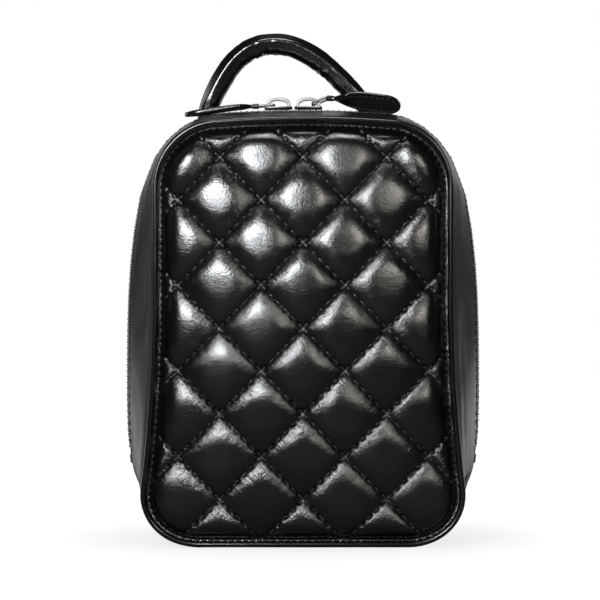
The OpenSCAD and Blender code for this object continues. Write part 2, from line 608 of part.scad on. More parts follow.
gusset(1);  // back_gusset
base_gusset();
stiffener(1);  // back_stiffener
base_stiffener();
binding(1);  // back_binding
panel(1);  // back_panel
board(1);  // back_board
lining(1);  // back_lining
side_lining(1);  // back_side_lining
base_lining();
zip_tape(1);  // back_zip_tape
zip_teeth(1);  // back_zip_teeth
zip_stops(1);  // back_zip_stops
handle_patch(grip_x(-1));  // handle_patch_left
handle_patch(grip_x(1));  // handle_patch_right
ring_rolls();
long_divider();
short_divider();
hook_bar();
necklace_hooks();
necklace_pocket();
gusset(-1);  // front_gusset
stiffener(-1);  // front_stiffener
binding(-1);  // front_binding
panel(-1);  // front_panel
board(-1);  // front_board
lining(-1);  // front_lining
side_lining(-1);  // front_side_lining
zip_tape(-1);  // front_zip_tape
zip_teeth(-1);  // front_zip_teeth
zip_stops(-1);  // front_zip_stops
mirror_frame();
mirror_glass();
handle_grip();
handle_core();
on_top(left_x) mirror([1, 0, 0]) slider();  // left_slider
left_bar() rotate([0, -left_rest[0], 0]) pull_link();  // left_pull_link
left_bar() at_link_end(left_rest) pull(left_rest[3]);  // left_pull
on_top(right_x) slider();  // right_slider
right_bar() rotate([0, -right_rest[0], 0]) pull_link();  // right_pull_link
right_bar() at_link_end(right_rest) pull(right_rest[3]);  // right_pull
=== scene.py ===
"""Leather jewellery case: quilted panels, bound edges, zip, rolled handle and velvet inside."""

import math

import bpy
import numpy as np
from mathutils import Matrix, Vector, noise


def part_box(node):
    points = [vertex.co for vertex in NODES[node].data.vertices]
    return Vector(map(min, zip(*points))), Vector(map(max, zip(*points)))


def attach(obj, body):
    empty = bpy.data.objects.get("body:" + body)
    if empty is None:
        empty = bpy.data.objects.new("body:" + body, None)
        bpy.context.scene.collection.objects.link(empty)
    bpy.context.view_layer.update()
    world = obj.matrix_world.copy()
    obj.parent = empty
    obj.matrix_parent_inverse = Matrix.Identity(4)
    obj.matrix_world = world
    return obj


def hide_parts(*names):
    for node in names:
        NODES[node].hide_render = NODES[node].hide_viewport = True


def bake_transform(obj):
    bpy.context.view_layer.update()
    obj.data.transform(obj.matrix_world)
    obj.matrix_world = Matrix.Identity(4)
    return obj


bl_info = {
    "name": "Quilted jewellery case",
    "version": (1, 0, 0),
    "blender": (4, 5, 0),
    "location": "View3D > Sidebar > Jewellery case",
    "description": "Builds the leather, metal and velvet pieces of a jewellery case round its packed frame",
    "category": "Object",
}

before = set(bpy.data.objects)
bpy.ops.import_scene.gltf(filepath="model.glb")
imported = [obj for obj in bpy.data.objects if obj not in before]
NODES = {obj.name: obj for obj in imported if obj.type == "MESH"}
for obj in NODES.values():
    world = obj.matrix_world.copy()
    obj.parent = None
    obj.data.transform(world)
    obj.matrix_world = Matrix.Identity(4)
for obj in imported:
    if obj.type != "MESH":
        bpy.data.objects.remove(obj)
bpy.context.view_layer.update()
MM = 0.001

# ---- sizes of the frame, in millimetres ----

PANEL_W, PANEL_H, PANEL_R = 121.0, 173.0, 24.0
PANEL_FLARE, FLARE_H, ARCH = 8.0, 100.0, 4.0
ZIP_W, ZIP_H, ZIP_R = 132.0, 178.8, 32.0
BULGE, BULGE_Z, BULGE_UP, BULGE_DOWN = 7.3, 66.0, 85.0, 56.0
EDGE_Y, ZIP_GAP, PROUD, LEATHER = 36.4, 4.6, 0.6, 1.2
FACE_IN = PROUD - 0.1
BINDING_W, BINDING_D, RECESS = 2.6, 3.6, 1.5
DIAMOND_W, DIAMOND_H, STITCH_Z, CROWN = 33.4, 34.2, 19.6, 7.0
CHAIN_IN, LAYER_IN, LINING_OUT, LINING_IN, FLOOR_Y = 0.9, 1.9, 3.4, 4.6, 31.0
HANDLE_Y, HANDLE_SPAN, HANDLE_SHIFT, HANDLE_RISE, HANDLE_LEAN = 19.0, 72.0, 6.5, 31.6, 6.0
GRIP_T, GRIP_W = 8.8, 10.4
TOOTH_H, WING_T, WIRE_D, LINK_L, BRIDGE_H = 2.1, 1.0, 1.0, 6.6, 3.9
LEFT_X, RIGHT_X = -10.2, 2.2
LEFT_REST, RIGHT_REST = (-3, 0, 0), (22, -2, -10)
PULL_L, PULL_W, PULL_T = 31.0, 10.5, 2.2

# Places round the outline are numbered from the left end of the base, anticlockwise seen from the front.
BASE_N, CORNER_N, SIDE_N, TOP_N = 4, 6, 8, 8
RIGHT_K = BASE_N + CORNER_N
TOP_K = RIGHT_K + SIDE_N + CORNER_N
LEFT_K = TOP_K + TOP_N + CORNER_N
ZIP_FROM, ZIP_TO = RIGHT_K, LEFT_K + SIDE_N
OUTLINE_N = ZIP_TO + CORNER_N
CORNER_ENDS = (RIGHT_K, TOP_K, LEFT_K, OUTLINE_N)
CORNER_TURN = 90 // CORNER_N

# The sign of the depth, the body and the first word of the names of the case's two halves.
HALVES = ((-1, "cover", "front"), (1, "case", "back"))


def mix(a, b, t):
    return a + (b - a) * t


def clamp(v, low=0.0, high=1.0):
    return max(low, min(high, v))


def step(v, low, high):
    """0 below low, 1 above high, smooth between."""
    t = clamp((v - low) / (high - low))
    return t * t * (3 - 2 * t)


def ridge(v, middle, width):
    """1 at middle, falling off smoothly to both sides."""
    return math.exp(-((v - middle) / width) ** 2)


def section(y, inset):
    """The case's section at depth y, moved in by inset.

    Gives the share of the swelling, half the width, the corner radius and the height of the shoulders.
    """
    s = clamp((EDGE_Y - abs(y)) / (EDGE_Y - ZIP_GAP)) ** 0.85
    return (s, mix(PANEL_W, ZIP_W, s) / 2 - inset, mix(PANEL_R, ZIP_R, s) - inset,
            mix(PANEL_H, ZIP_H, s) - ARCH - inset)


def outline(k, y, inset):
    """(x, z) of the case's outline at place k round it and depth y, moved in by inset."""
    s, hw, r, zt = section(y, inset)
    zb = max(0.0, inset - PROUD)
    k %= OUTLINE_N
    if k < BASE_N:
        x, z = mix(r - hw, hw - r, k / BASE_N), zb
    elif RIGHT_K <= k < RIGHT_K + SIDE_N:
        x, z = hw, mix(zb + r, zt - r, (k - RIGHT_K) / SIDE_N)
    elif TOP_K <= k < TOP_K + TOP_N:
        x, z = mix(hw - r, r - hw, (k - TOP_K) / TOP_N), zt
    elif LEFT_K <= k < ZIP_TO:
        x, z = -hw, mix(zt - r, zb + r, (k - LEFT_K) / SIDE_N)
    else:
        n = sum(k >= end for end in CORNER_ENDS)
        cx = hw - r if n < 2 else r - hw
        cz = zt - r if n in (1, 2) else zb + r
        a = math.radians(k * CORNER_TURN - (CORNER_ENDS[n] * CORNER_TURN - 90 * n))
        x, z = cx + r * math.cos(a), cz + r * math.sin(a)
    flare = (1 - s) * PANEL_FLARE * clamp(1 - z / FLARE_H) ** 2
    reach = BULGE_UP if z > BULGE_Z else BULGE_DOWN
    bulge = s * BULGE * (1 - min(1, abs(z - BULGE_Z) / reach) ** 3)
    lift = ARCH * (1 - (x / hw) ** 2) * clamp(2 * z / zt - 1)
    return x * (1 + (flare + bulge) / hw), z + lift


def outward(k, y, inset):
    """Unit direction out of the outline at place k, in the XZ plane."""
    a, b = outline(k - 0.05, y, inset), outline(k + 0.05, y, inset)
    d = Vector((b[1] - a[1], a[0] - b[0]))
    return d.normalized()


def places(first, last, per_side=2, per_corner=4):
    """Places from first to last, closer together in the rounded corners."""
    found, k = [], float(first)
    while k < last - 1e-6:
        found.append(k)
        m = k % OUTLINE_N
        bend = any(end - CORNER_N <= m < end for end in CORNER_ENDS)
        k += 1.0 / (per_corner if bend else per_side)
    return found + [float(last)]


def top_z(x, y, inset):
    """Height of the case's top at x and depth y, moved in by inset."""
    _, hw, r, zt = section(y, inset)
    over = max(0.0, abs(x) - (hw - r))
    return zt + ARCH * (1 - (x / hw) ** 2) - (r - math.sqrt(r * r - over * over))


def panel_loop(inset):
    """The rim of a panel as an array of (x, z), moved in by inset."""
    return np.array([outline(k, EDGE_Y, inset) for k in places(0, OUTLINE_N, 4, 4)[:-1]])


def along_zip(per_side, per_corner):
    """Places along the zip, a little short of its two ends."""
    return places(ZIP_FROM + 0.02, ZIP_TO - 0.02, per_side, per_corner)


def wave(x, y, z, size, seed=0.0):
    """Smooth, repeatable unevenness between about -1 and 1."""
    return noise.noise(Vector((x / size + seed, y / size - seed, z / size + 2 * seed)))


# ---- modelling helpers ----

def only(*objects):
    """Selects these objects and makes the first one active."""
    bpy.ops.object.select_all(action="DESELECT")
    for o in objects:
        o.select_set(True)
    bpy.context.view_layer.objects.active = objects[0]


def added(name):
    """The object that the last operator made, under its own name."""
    piece = bpy.context.object
    piece.name = piece.data.name = name
    return piece


def edit(piece, *steps, select=True):
    """Runs operators of edit mode, given as functions, on the whole piece."""
    only(piece)
    bpy.ops.object.mode_set(mode="EDIT")
    if select:
        bpy.ops.mesh.select_all(action="SELECT")
    for run in steps:
        run()
    bpy.ops.object.mode_set(mode="OBJECT")
    return piece


def pick(piece, chosen):
    """Selects the vertices whose indices are in chosen, with the edges and faces between them."""
    for v in piece.data.vertices:
        v.select = v.index in chosen
    for part in (piece.data.edges, piece.data.polygons):
        for p in part:
            p.select = all(v in chosen for v in p.vertices)


def merge(distance=0.00001):
    return lambda: bpy.ops.mesh.remove_doubles(threshold=distance)


def outside():
    bpy.ops.mesh.normals_make_consistent(inside=False)


def fill_holes():
    bpy.ops.mesh.select_all(action="DESELECT")
    bpy.ops.mesh.select_non_manifold()
    bpy.ops.mesh.edge_face_add()
    bpy.ops.mesh.select_all(action="SELECT")


def settle(piece):
    """Puts the piece's place into its mesh."""
    only(piece)
    bpy.ops.object.transform_apply(location=True, rotation=True, scale=True)
    return piece


def modify(piece, kind, **settings):
    """Adds a modifier with these settings and applies it."""
    only(piece)
    bpy.ops.object.modifier_add(type=kind)
    modifier = piece.modifiers[-1]
    for name, value in settings.items():
        setattr(modifier, name, value)
    bpy.ops.object.modifier_apply(modifier=modifier.name)
    return piece


def smooth_form(piece, levels=1):
    return modify(piece, "SUBSURF", levels=levels, render_levels=levels)


def thicken(piece, millimetres):
    """Gives a sheet its thickness, behind its face."""
    return modify(piece, "SOLIDIFY", thickness=millimetres * MM, offset=-1.0)


def round_edges(piece, millimetres, segments, above):
    """Rounds the edges that bend by more than above, in degrees."""
    return modify(piece, "BEVEL", width=millimetres * MM, segments=segments, limit_method="ANGLE",
                  angle_limit=math.radians(above))


def twin(source, name):
    """A new piece with a copy of the source's mesh."""
    piece = bpy.data.objects.new(name, source.data.copy())
    bpy.context.scene.collection.objects.link(piece)
    return piece


def skin(name, nu, nv, place, closed=False):
    """A grid of nu by nv faces, whose points place(i, j) gives in millimetres."""
    bpy.ops.object.select_all(action="DESELECT")
    bpy.ops.mesh.primitive_grid_add(x_subdivisions=nu, y_subdivisions=nv, size=1)
    piece = added(name)
    for v in piece.data.vertices:
        i, j = round((v.co.x + 0.5) * nu), round((v.co.y + 0.5) * nv)
        v.co = Vector(place(i, j)) * MM
    return edit(piece, merge(), outside) if closed else piece


def band(name, profile, ks, side, closed=True):
    """Sweeps a profile along the outline's places ks; profile(k) gives its points as (inset, depth)."""
    profiles = [profile(k) for k in ks]

    def place(i, j):
        inset, depth = profiles[i][j % len(profiles[i])]
        x, z = outline(ks[i], depth, 0)
        d = outward(ks[i], depth, 0)
        return x - d.x * inset, side * depth, z - d.y * inset

    piece = skin(name, len(ks) - 1, len(profiles[0]) - (0 if closed else 1), place)
    return edit(piece, merge(), outside) if closed else piece


def flip_if(piece, wrong):
    return edit(piece, bpy.ops.mesh.flip_normals) if wrong else piece


THREAD_TILT = 0.04


def thread(name, spots, length, radius):
    """Stitches: one short rounded stitch, copied to each (place, direction, up) in spots, in millimetres."""
    bpy.ops.object.select_all(action="DESELECT")
    bpy.ops.mesh.primitive_uv_sphere_add(segments=6, ring_count=4, radius=1)
    piece = added(name)
    turn = Matrix.Rotation(math.pi / 2, 3, "Y")
    shape = np.array([turn @ v.co for v in piece.data.vertices])
    shape[:, 0] = np.sign(shape[:, 0]) * np.abs(shape[:, 0]) ** 0.6 * length / 2
    shape[:, 1:] *= radius
    faces = [list(p.vertices) for p in piece.data.polygons]
    points, all_faces = [], []
    for place, along, up in spots:
        x = Vector(along).normalized()
        y = Vector(up).cross(x).normalized()
        m = np.array([x, y, x.cross(y)])
        first = len(points) * len(shape)
        points.append(shape @ m + np.array(place))
        all_faces += [[first + v for v in f] for f in faces]
    mesh = bpy.data.meshes.new(name)
    mesh.from_pydata((np.concatenate(points) * MM).tolist(), [], all_faces)
    piece.data = mesh
    return piece


def row(name, curve, pitch, length, radius, up):
    """Stitches at an even pitch along a list of points; up(i) gives the direction out of the leather."""
    pts = [Vector(p) for p in curve]
    run = [0.0]
    for a, b in zip(pts, pts[1:]):
        run.append(run[-1] + (b - a).length)
    count = max(1, int(run[-1] / pitch))
    spots, i = [], 0
    for n in range(count):
        s = (n + 0.5) * run[-1] / count
        while run[i + 1] < s:
            i += 1
        t = (s - run[i]) / (run[i + 1] - run[i])
        u = Vector(up(i))
        along = (pts[i + 1] - pts[i]).normalized()
        spots.append((pts[i].lerp(pts[i + 1], t), along + u * THREAD_TILT, u))
    return thread(name, spots, length, radius)


def copy_of(node, name):
    """A copy of a CAD node's mesh, with its corners merged, as a new piece."""
    piece = twin(NODES[node], name)
    piece.data.name = name
    return edit(piece, merge(0.000002), lambda: bpy.ops.mesh.dissolve_limited(angle_limit=0.02), outside)


def shade(piece, material, smooth):
    """Gives the piece its material, and smooth shading over edges that bend by less than smooth degrees."""
    piece.data.materials.clear()
    piece.data.materials.append(material)
    only(piece)
    bpy.ops.object.shade_smooth_by_angle(angle=math.radians(smooth))


def dress(piece, body, material, slot, *nodes, smooth=40):
    """Gives the finished piece its material and its body, and hides the CAD nodes that it stands for. The
    slot is not used.
    """
    shade(piece, material, smooth)
    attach(piece, body)
    if nodes:
        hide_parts(*nodes)
    return piece


def repaint(material, *nodes):
    """Gives CAD nodes that are shown as they are their material."""
    for name in nodes:
        NODES[name].data.materials.clear()
        NODES[name].data.materials.append(material)


# ---- shader helpers ----

OBJECT_SPACE, GENERATED = 3, 0
CAMERA_RAY, GLOSSY_RAY, TRANSMISSION_RAY = 0, 3, 6


class Signal:
    """A shader socket that does sums."""

    def __init__(self, paint, out):
        self.paint, self.out = paint, out

    def sum(self, operation, *others):
        return self.paint.node("Math", {"operation": operation}, self, *others)

    def __add__(self, o): return self.sum("ADD", o)
    def __radd__(self, o): return self.sum("ADD", o)
    def __sub__(self, o): return self.sum("SUBTRACT", o)
    def __rsub__(self, o): return self.paint.node("Math", {"operation": "SUBTRACT"}, o, self)
    def __mul__(self, o): return self.sum("MULTIPLY", o)
    def __rmul__(self, o): return self.sum("MULTIPLY", o)
    def __pow__(self, o): return self.sum("POWER", o)
    def __abs__(self): return self.sum("ABSOLUTE")

    def sin(self): return self.sum("SINE")
    def cos(self): return self.sum("COSINE")
    def fract(self): return self.sum("FRACT")
    def most(self, o): return self.sum("MAXIMUM", o)
    def least(self, o): return self.sum("MINIMUM", o)

    def between(self, low, high):
        """0 at low, 1 at high, held outside them."""
        return self.paint.node("MapRange", {"interpolation_type": "SMOOTHSTEP"}, self, low, high, 0.0, 1.0)


class Paint:
    """Builds the nodes of one new material, or those of a tree that is there already."""

    def __init__(self, name, tree=None):
        self.tree = tree
        if tree is None:
            self.material = bpy.data.materials.new(name)
            self.material.use_nodes = True
            self.tree = self.material.node_tree
            self.tree.nodes.clear()
            self.end = self.tree.nodes.new("ShaderNodeOutputMaterial")

    def feed(self, socket, value):
        """Links a signal to the socket, or sets the socket to a plain value."""
        if isinstance(value, Signal):
            self.tree.links.new(value.out, socket)
        elif value is not None:
            socket.default_value = value

    def node(self, kind, settings=None, *values, out=0, **named):
        """A node of that kind, with its settings, then its sockets by order or by name."""
        n = self.tree.nodes.new("ShaderNode" + kind)
        for key, value in (settings or {}).items():
            setattr(n, key, value)
        for key, value in [*enumerate(values), *((k.replace("_", " "), v) for k, v in named.items())]:
            self.feed(n.inputs[key], value)
        return Signal(self, n.outputs[out])

    def blend(self, factor, a, b):
        """Mix of two colours."""
        n = self.tree.nodes.new("ShaderNodeMix")
        n.data_type = "RGBA"
        for key, value in ((0, factor), (6, a), (7, b)):
            self.feed(n.inputs[key], (*value, 1) if isinstance(value, tuple) else value)
        return Signal(self, n.outputs[2])

    def where(self, kind=OBJECT_SPACE):
        return self.node("TexCoord", out=kind)

    def parts(self, vector):
        n = self.tree.nodes.new("ShaderNodeSeparateXYZ")
        self.tree.links.new(vector.out, n.inputs[0])
        return [Signal(self, o) for o in n.outputs]

    def cloud(self, where, scale, detail=2.0, roughness=0.5):
        return self.node("TexNoise", None, Vector=where, Scale=scale, Detail=detail, Roughness=roughness)

    def cells(self, where, scale, feature="F1"):
        return self.node("TexVoronoi", {"feature": feature}, Vector=where, Scale=scale)

    def dent(self, height, strength, distance, normal=None):
        return self.node("Bump", None, Strength=strength, Distance=distance, Height=height, Normal=normal)

    def bright(self, mirrored):
        """1 where a ray meets the bright backdrop: seen straight on, through glass, or as mirrored says."""
        kinds = (CAMERA_RAY, GLOSSY_RAY, TRANSMISSION_RAY)
        straight, glossy, through = [self.node("LightPath", out=n) for n in kinds]
        return straight.most(through).most(glossy * mirrored)

    def surface(self, **sockets):
        self.feed(self.end.inputs[0], self.node("BsdfPrincipled", None, **sockets))
        return self.material


def toned(colour, gain, lift=0.0):
    return tuple(c * gain + lift for c in colour)


def quilt_seams(p, x, z, crease, puckers):
    """Signals for the puckers along the seams, and for the streaks that they pull across a diamond."""
    sideways, upwards = x * (1 / (DIAMOND_W * MM)), (z - STITCH_Z * MM) * (1 / (DIAMOND_H * MM))
    u, v = sideways + upwards, sideways - upwards
    found = []
    for across, along in ((u, v), (v, u)):
        near = abs((across + 100.5).fract() - 0.5)
        ripple = 0.5 + 0.5 * ((along + 0.13 * (crease - 0.5)) * (2 * math.pi * puckers)).cos()
        streaks = p.cloud(p.node("CombineXYZ", None, across * 4.0, along * 38.0, 0.0), 1.0, 3.0, 0.6)
        found.append((ripple * (1.0 - near.between(0.002, 0.045)),
                      (streaks - 0.5) * (1.0 - near.between(0.02, 0.30))))
    return found[0][0].most(found[1][0]), found[0][1] + found[1][1]


def leather(name, colour, rough=0.2, shine=0.4, grain=1.0, quilt=False, puckers=6.0):
    """Polished leather: pores, fine creases, and where it is quilted the puckers and pulls of its seams."""
    p = Paint(name)
    where = p.where()
    broad = p.cloud(where, 22.0, 3.0)
    pores = p.cells(where, 2400.0)
    lines = p.cells(where, 900.0, "DISTANCE_TO_EDGE")
    crease = p.cloud(where, 260.0, 4.0, 0.65)
    height = 0.30 * pores.least(0.5) + 0.16 * lines.least(0.12) * 4.0
    normal = p.dent(height, 0.12 * grain, 0.0002)
    normal = p.dent(crease, 0.12 * grain, 0.0006, normal)
    normal = p.dent(p.cloud(where, 1300.0, 3.0, 0.6), 0.52 * grain, 0.0002, normal)
    worn = broad.between(0.46, 0.70)
    dull = rough + 0.05 * worn + 0.02 * pores
    if quilt:
        x, _, z = p.parts(where)
        seams, pulls = quilt_seams(p, x, z, crease, puckers)
        normal = p.dent(pulls, 0.40, 0.0008, normal)
        normal = p.dent(seams, 0.30, 0.0005, normal)
        dull = dull + 0.05 * seams
    tint = p.blend(0.35 * worn, colour, toned(colour, 1.6, 0.001))
    return p.surface(Base_Color=tint, Roughness=dull, IOR=1.7, Specular_IOR_Level=shine, Normal=normal)


def suede(name, colour):
    """The raw underside of a strip of leather."""
    p = Paint(name)
    where = p.where()
    nap = p.cloud(where, 2600.0, 3.0, 0.7)
    blotch = p.cloud(where, 240.0, 3.0)
    normal = p.dent(nap, 0.6, 0.0002)
    tint = p.blend(blotch.between(0.35, 0.7), colour, toned(colour, 1.8, 0.002))
    return p.surface(Base_Color=tint, Roughness=0.78 + 0.15 * nap, Normal=normal, Specular_IOR_Level=0.2)


def velvet(name, colour):
    """Short velvet, brushed in patches."""
    p = Paint(name)
    where = p.where()
    pile = p.cloud(where, 3800.0, 2.0, 0.6)
    brushed = p.cloud(where, 38.0, 4.0, 0.6)
    normal = p.dent(pile, 0.7, 0.0003)
    tint = p.blend(brushed.between(0.38, 0.66), colour, toned(colour, 2.0, 0.01))
    return p.surface(Base_Color=tint, Roughness=0.85 + 0.1 * pile, Normal=normal, Sheen_Weight=0.8,
                     Sheen_Roughness=0.35, Sheen_Tint=(0.8, 0.72, 0.78, 1))


def woven_tape(name, colour):
    """Zip tape: fine diagonal weave."""
    p = Paint(name)
    where = p.where()
    x, y, z = p.parts(where)
    warp = ((x + z + y) * 5200.0).sin()
    weft = ((x - z) * 5200.0 + y * 3000.0).sin()
    weave = 0.5 + 0.25 * warp + 0.25 * weft
    fuzz = p.cloud(where, 900.0, 3.0)
    tint = p.blend(weave * fuzz, colour, toned(colour, 3, 0.01))
    return p.surface(Base_Color=tint, Roughness=0.72 + 0.12 * fuzz, Normal=p.dent(weave, 0.5, 0.0002),
                     Sheen_Weight=0.2)


def moulded(name, colour):
    """Moulded plastic of the zip's teeth."""
    p = Paint(name)
    where = p.where()
    uneven = p.cloud(where, 700.0, 3.0)
    wear = p.cloud(where, 60.0, 2.0)
    tint = p.blend(wear.between(0.4, 0.7), colour, toned(colour, 1.8, 0.006))
    return p.surface(Base_Color=tint, Roughness=0.30 + 0.18 * uneven, Normal=p.dent(uneven, 0.15, 0.0001))


def plated(name, colour, rough=0.2):
    """Polished plating with faint scuffs and darker patches at random."""
    p = Paint(name)
    where = p.where()
    scuff = p.cloud(where, 1400.0, 4.0, 0.7)
    stain = p.cloud(where, 260.0, 3.0)
    tint = p.blend(stain.between(0.45, 0.75), colour, toned(colour, 0.72))
    return p.surface(Base_Color=tint, Metallic=1.0, Roughness=rough + 0.16 * scuff,
                     Normal=p.dent(scuff, 0.12, 0.0001))


def silvered(name, colour):
    """Mirror glass, very slightly uneven."""
    p = Paint(name)
    haze = p.cloud(p.where(), 30.0, 3.0)
    tint = p.blend(haze.between(0.4, 0.8), colour, toned(colour, 0.96))
    return p.surface(Base_Color=tint, Metallic=1.0, Roughness=0.02 + 0.02 * haze)


def board(name, colour):
    """Pressed brown board, flecked."""
    p = Paint(name)
    where = p.where()
    fleck = p.cloud(where, 900.0, 5.0, 0.8)
    tint = p.blend(fleck.between(0.4, 0.7), colour, toned(colour, 0.6))
    return p.surface(Base_Color=tint, Roughness=0.9, Normal=p.dent(fleck, 0.3, 0.0003))


def cotton(name, colour, twist=900.0):
    """Twisted cotton or waxed thread."""
    p = Paint(name)
    where = p.where()
    x, y, z = p.parts(where)
    strands = 0.5 + 0.5 * ((x + y + z) * (twist * 2 * math.pi)).sin()
    tint = p.blend(strands, toned(colour, 0.6), colour)
    return p.surface(Base_Color=tint, Roughness=0.34 + 0.3 * strands, Normal=p.dent(strands, 0.4, 0.0002),
                     Coat_Weight=0.3)


PAINTS = {}


def paint(name):
    """The material of that name, made when it is first asked for."""
    look = bpy.context.scene.case_look
    black, gloss = tuple(look.leather_colour), look.leather_roughness
    plush, plate = tuple(look.velvet_colour), tuple(look.metal_colour)
    makers = {
        "quilted leather": lambda n: leather(n, black, gloss, 0.5, quilt=True),
        "case leather": lambda n: leather(n, black, gloss + 0.08, 0.2, 0.5),
        "handle leather": lambda n: leather(n, black, gloss, 0.45, 0.25),
        "trim leather": lambda n: leather(n, black, gloss, 0.4, 0.4),
        "raw leather": lambda n: suede(n, black),
        "velvet": lambda n: velvet(n, plush),
        "velvet fittings": lambda n: velvet(n, toned(plush, 1.12)),
        "zip tape": lambda n: woven_tape(n, (0.012, 0.012, 0.013)),
        "zip teeth": lambda n: moulded(n, (0.013, 0.013, 0.014)),
        "plated metal": lambda n: plated(n, plate, 0.46),
        "hook metal": lambda n: plated(n, plate, 0.14),
        "mirror": lambda n: silvered(n, (0.9, 0.92, 0.93)),
        "board": lambda n: board(n, (0.30, 0.24, 0.18)),
        "thread": lambda n: cotton(n, (0.03, 0.03, 0.032)),
        "cord": lambda n: cotton(n, (0.6, 0.57, 0.5), 420.0),
    }
    if name not in PAINTS:
        PAINTS[name] = makers[name](name)
    return PAINTS[name]


# ---- sizes and colours that a user would change ----

class CaseForm(bpy.types.PropertyGroup):
    puff: bpy.props.FloatProperty(
        name="Quilting height", description="Height of a quilted diamond over its seams",
        default=0.0046, min=0.002, max=0.006, unit="LENGTH")
    stitches: bpy.props.IntProperty(
        name="Stitches per side", description="Stitches on one side of a diamond", default=6, min=3, max=9)
    edge_pitch: bpy.props.FloatProperty(
        name="Edge stitch pitch", description="Pitch of the stitches along the zip",
        default=0.0037, min=0.002, max=0.006, unit="LENGTH")
    wrinkle: bpy.props.FloatProperty(
        name="Handle wrinkles", description="Depth of the wrinkles inside the handle's bend",
        default=0.00055, min=0.0, max=0.001, unit="LENGTH")
    slack: bpy.props.FloatProperty(
        name="Leather slack", description="Extra leather between the seams, as a share",
        default=0.07, min=0.0, max=0.2, subtype="FACTOR")


class CaseLook(bpy.types.PropertyGroup):
    leather_colour: bpy.props.FloatVectorProperty(
        name="Leather", description="Colour of the leather",
        subtype="COLOR", size=3, default=(0.0026, 0.0026, 0.0028), min=0, max=1)
    leather_roughness: bpy.props.FloatProperty(
        name="Leather roughness", description="Roughness of the polished leather",
        default=0.19, min=0.05, max=0.8, subtype="FACTOR")
    velvet_colour: bpy.props.FloatVectorProperty(
        name="Velvet", description="Colour of the velvet lining",
        subtype="COLOR", size=3, default=(0.050, 0.040, 0.046), min=0, max=1)
    metal_colour: bpy.props.FloatVectorProperty(
        name="Plating", description="Colour of the plated metal",
        subtype="COLOR", size=3, default=(0.30, 0.30, 0.305), min=0, max=1)


# ---- quilting ----

QUILT_CELLS = 12        # cells of the grid along one side of a diamond
QUILT_LOW_U, QUILT_LOW_V, QUILT_SPAN = -3, -7, 10
DOME = 7.14             # fall of a cushion, by the square of the distance from its middle in diamonds
RIM_DROP = 0.4          # how far the quilting's rim lies behind the edge of the panel
CROWN_FROM_RIM, CUSHION_FROM_RIM, GROOVE_FROM_RIM = 7, 4.5, 1.5
SEAM_CREASE = 0.9
HEAD_ROOM = 0.4         # height under the full puff at which a cushion starts to level off
LEVELLING = 0.7
THREAD_PROUD = 0.12
CUSHION_SEED = 1795470745


def nearest_on(loop, points):
    """Nearest point of a closed loop to each point, its distance, and whether the point is inside."""
    a, b = loop, np.roll(loop, -1, axis=0)
    d = b - a
    t = np.clip(((points[:, None] - a) * d).sum(2) / (d * d).sum(1), 0, 1)
    near = a + t[..., None] * d
    gap = np.linalg.norm(points[:, None] - near, axis=2)
    best = gap.argmin(1)
    rows = np.arange(len(points))
    p = points[:, None]
    crosses = ((a[:, 1] > p[..., 1]) != (b[:, 1] > p[..., 1])) & (
        p[..., 0] < d[:, 0] * (p[..., 1] - a[:, 1]) / np.where(d[:, 1] == 0, 1e-9, d[:, 1]) + a[:, 0])
    return near[rows, best], gap[rows, best], crosses.sum(1) % 2 == 1


def quilt_uv(x, z):
    """Place in diamonds along the two families of seams, which lie at whole numbers."""
    return x / DIAMOND_W + (z - STITCH_Z) / DIAMOND_H, x / DIAMOND_W - (z - STITCH_Z) / DIAMOND_H


def quilt_xz(u, v):
    return (u + v) / 2 * DIAMOND_W, STITCH_Z + (u - v) / 2 * DIAMOND_H


def crown(x, z, gap):
    """How far the panel itself stands forward at x and z, at that gap from its rim."""
    rise = CROWN * clamp(1 - (2 * x / PANEL_W) ** 2) * clamp(1 - (2 * z / PANEL_H - 1) ** 2)
    return rise * step(gap, 0, CROWN_FROM_RIM)


def off_rim(gap):
    """0 at the rim, 1 where the cushions have their full height."""
    return 1 - (1 - clamp(gap / CUSHION_FROM_RIM)) ** 2


def cushion(u, w, puff):
    """Height of a diamond's dome over the panel's base, before its stitches are pulled tight."""
    a, b = u - np.floor(u) - 0.5, w - np.floor(w) - 0.5
    return puff - DOME * (a * a + b * b)


def stitch_pull(x, z, count):
    """How far the stitches pull the leather down: a narrow groove, deepest under each thread."""
    u, w = quilt_uv(x, z)
    a, b = np.abs(u - np.floor(u) - 0.5), np.abs(w - np.floor(w) - 0.5)
    across = 1 / math.hypot(1 / DIAMOND_W, 1 / DIAMOND_H)
    uneven = 0.012 * np.sin(x * 0.93 + 2.1 * np.sin(z * 0.71)) * np.sin(z * 1.13)
    found = np.zeros_like(x)
    for d, along in (((0.5 - a) * across, w), ((0.5 - b) * across, u)):
        pull = 0.5 - 0.5 * np.cos(2 * math.pi * count * (along + uneven))
        pull *= 0.85 + 0.3 * np.sin(x * 0.57 + z * 0.83)
        groove = 0.95 * np.exp(-(d / 0.55) ** 2) + 0.35 * np.exp(-d / 1.0)
        found = np.maximum(found, groove * (0.3 + 0.7 * pull))
    crossing = ((0.5 - a) ** 2 + (0.5 - b) ** 2) * across ** 2
    return found + 0.35 * np.exp(-crossing / 4.8)


def rim_gap(loop, flat):
    """Distance from the rim to each of many points, a few thousand at a time."""
    return np.concatenate([nearest_on(loop, part)[1] for part in np.array_split(flat, len(flat) // 4000 + 1)])


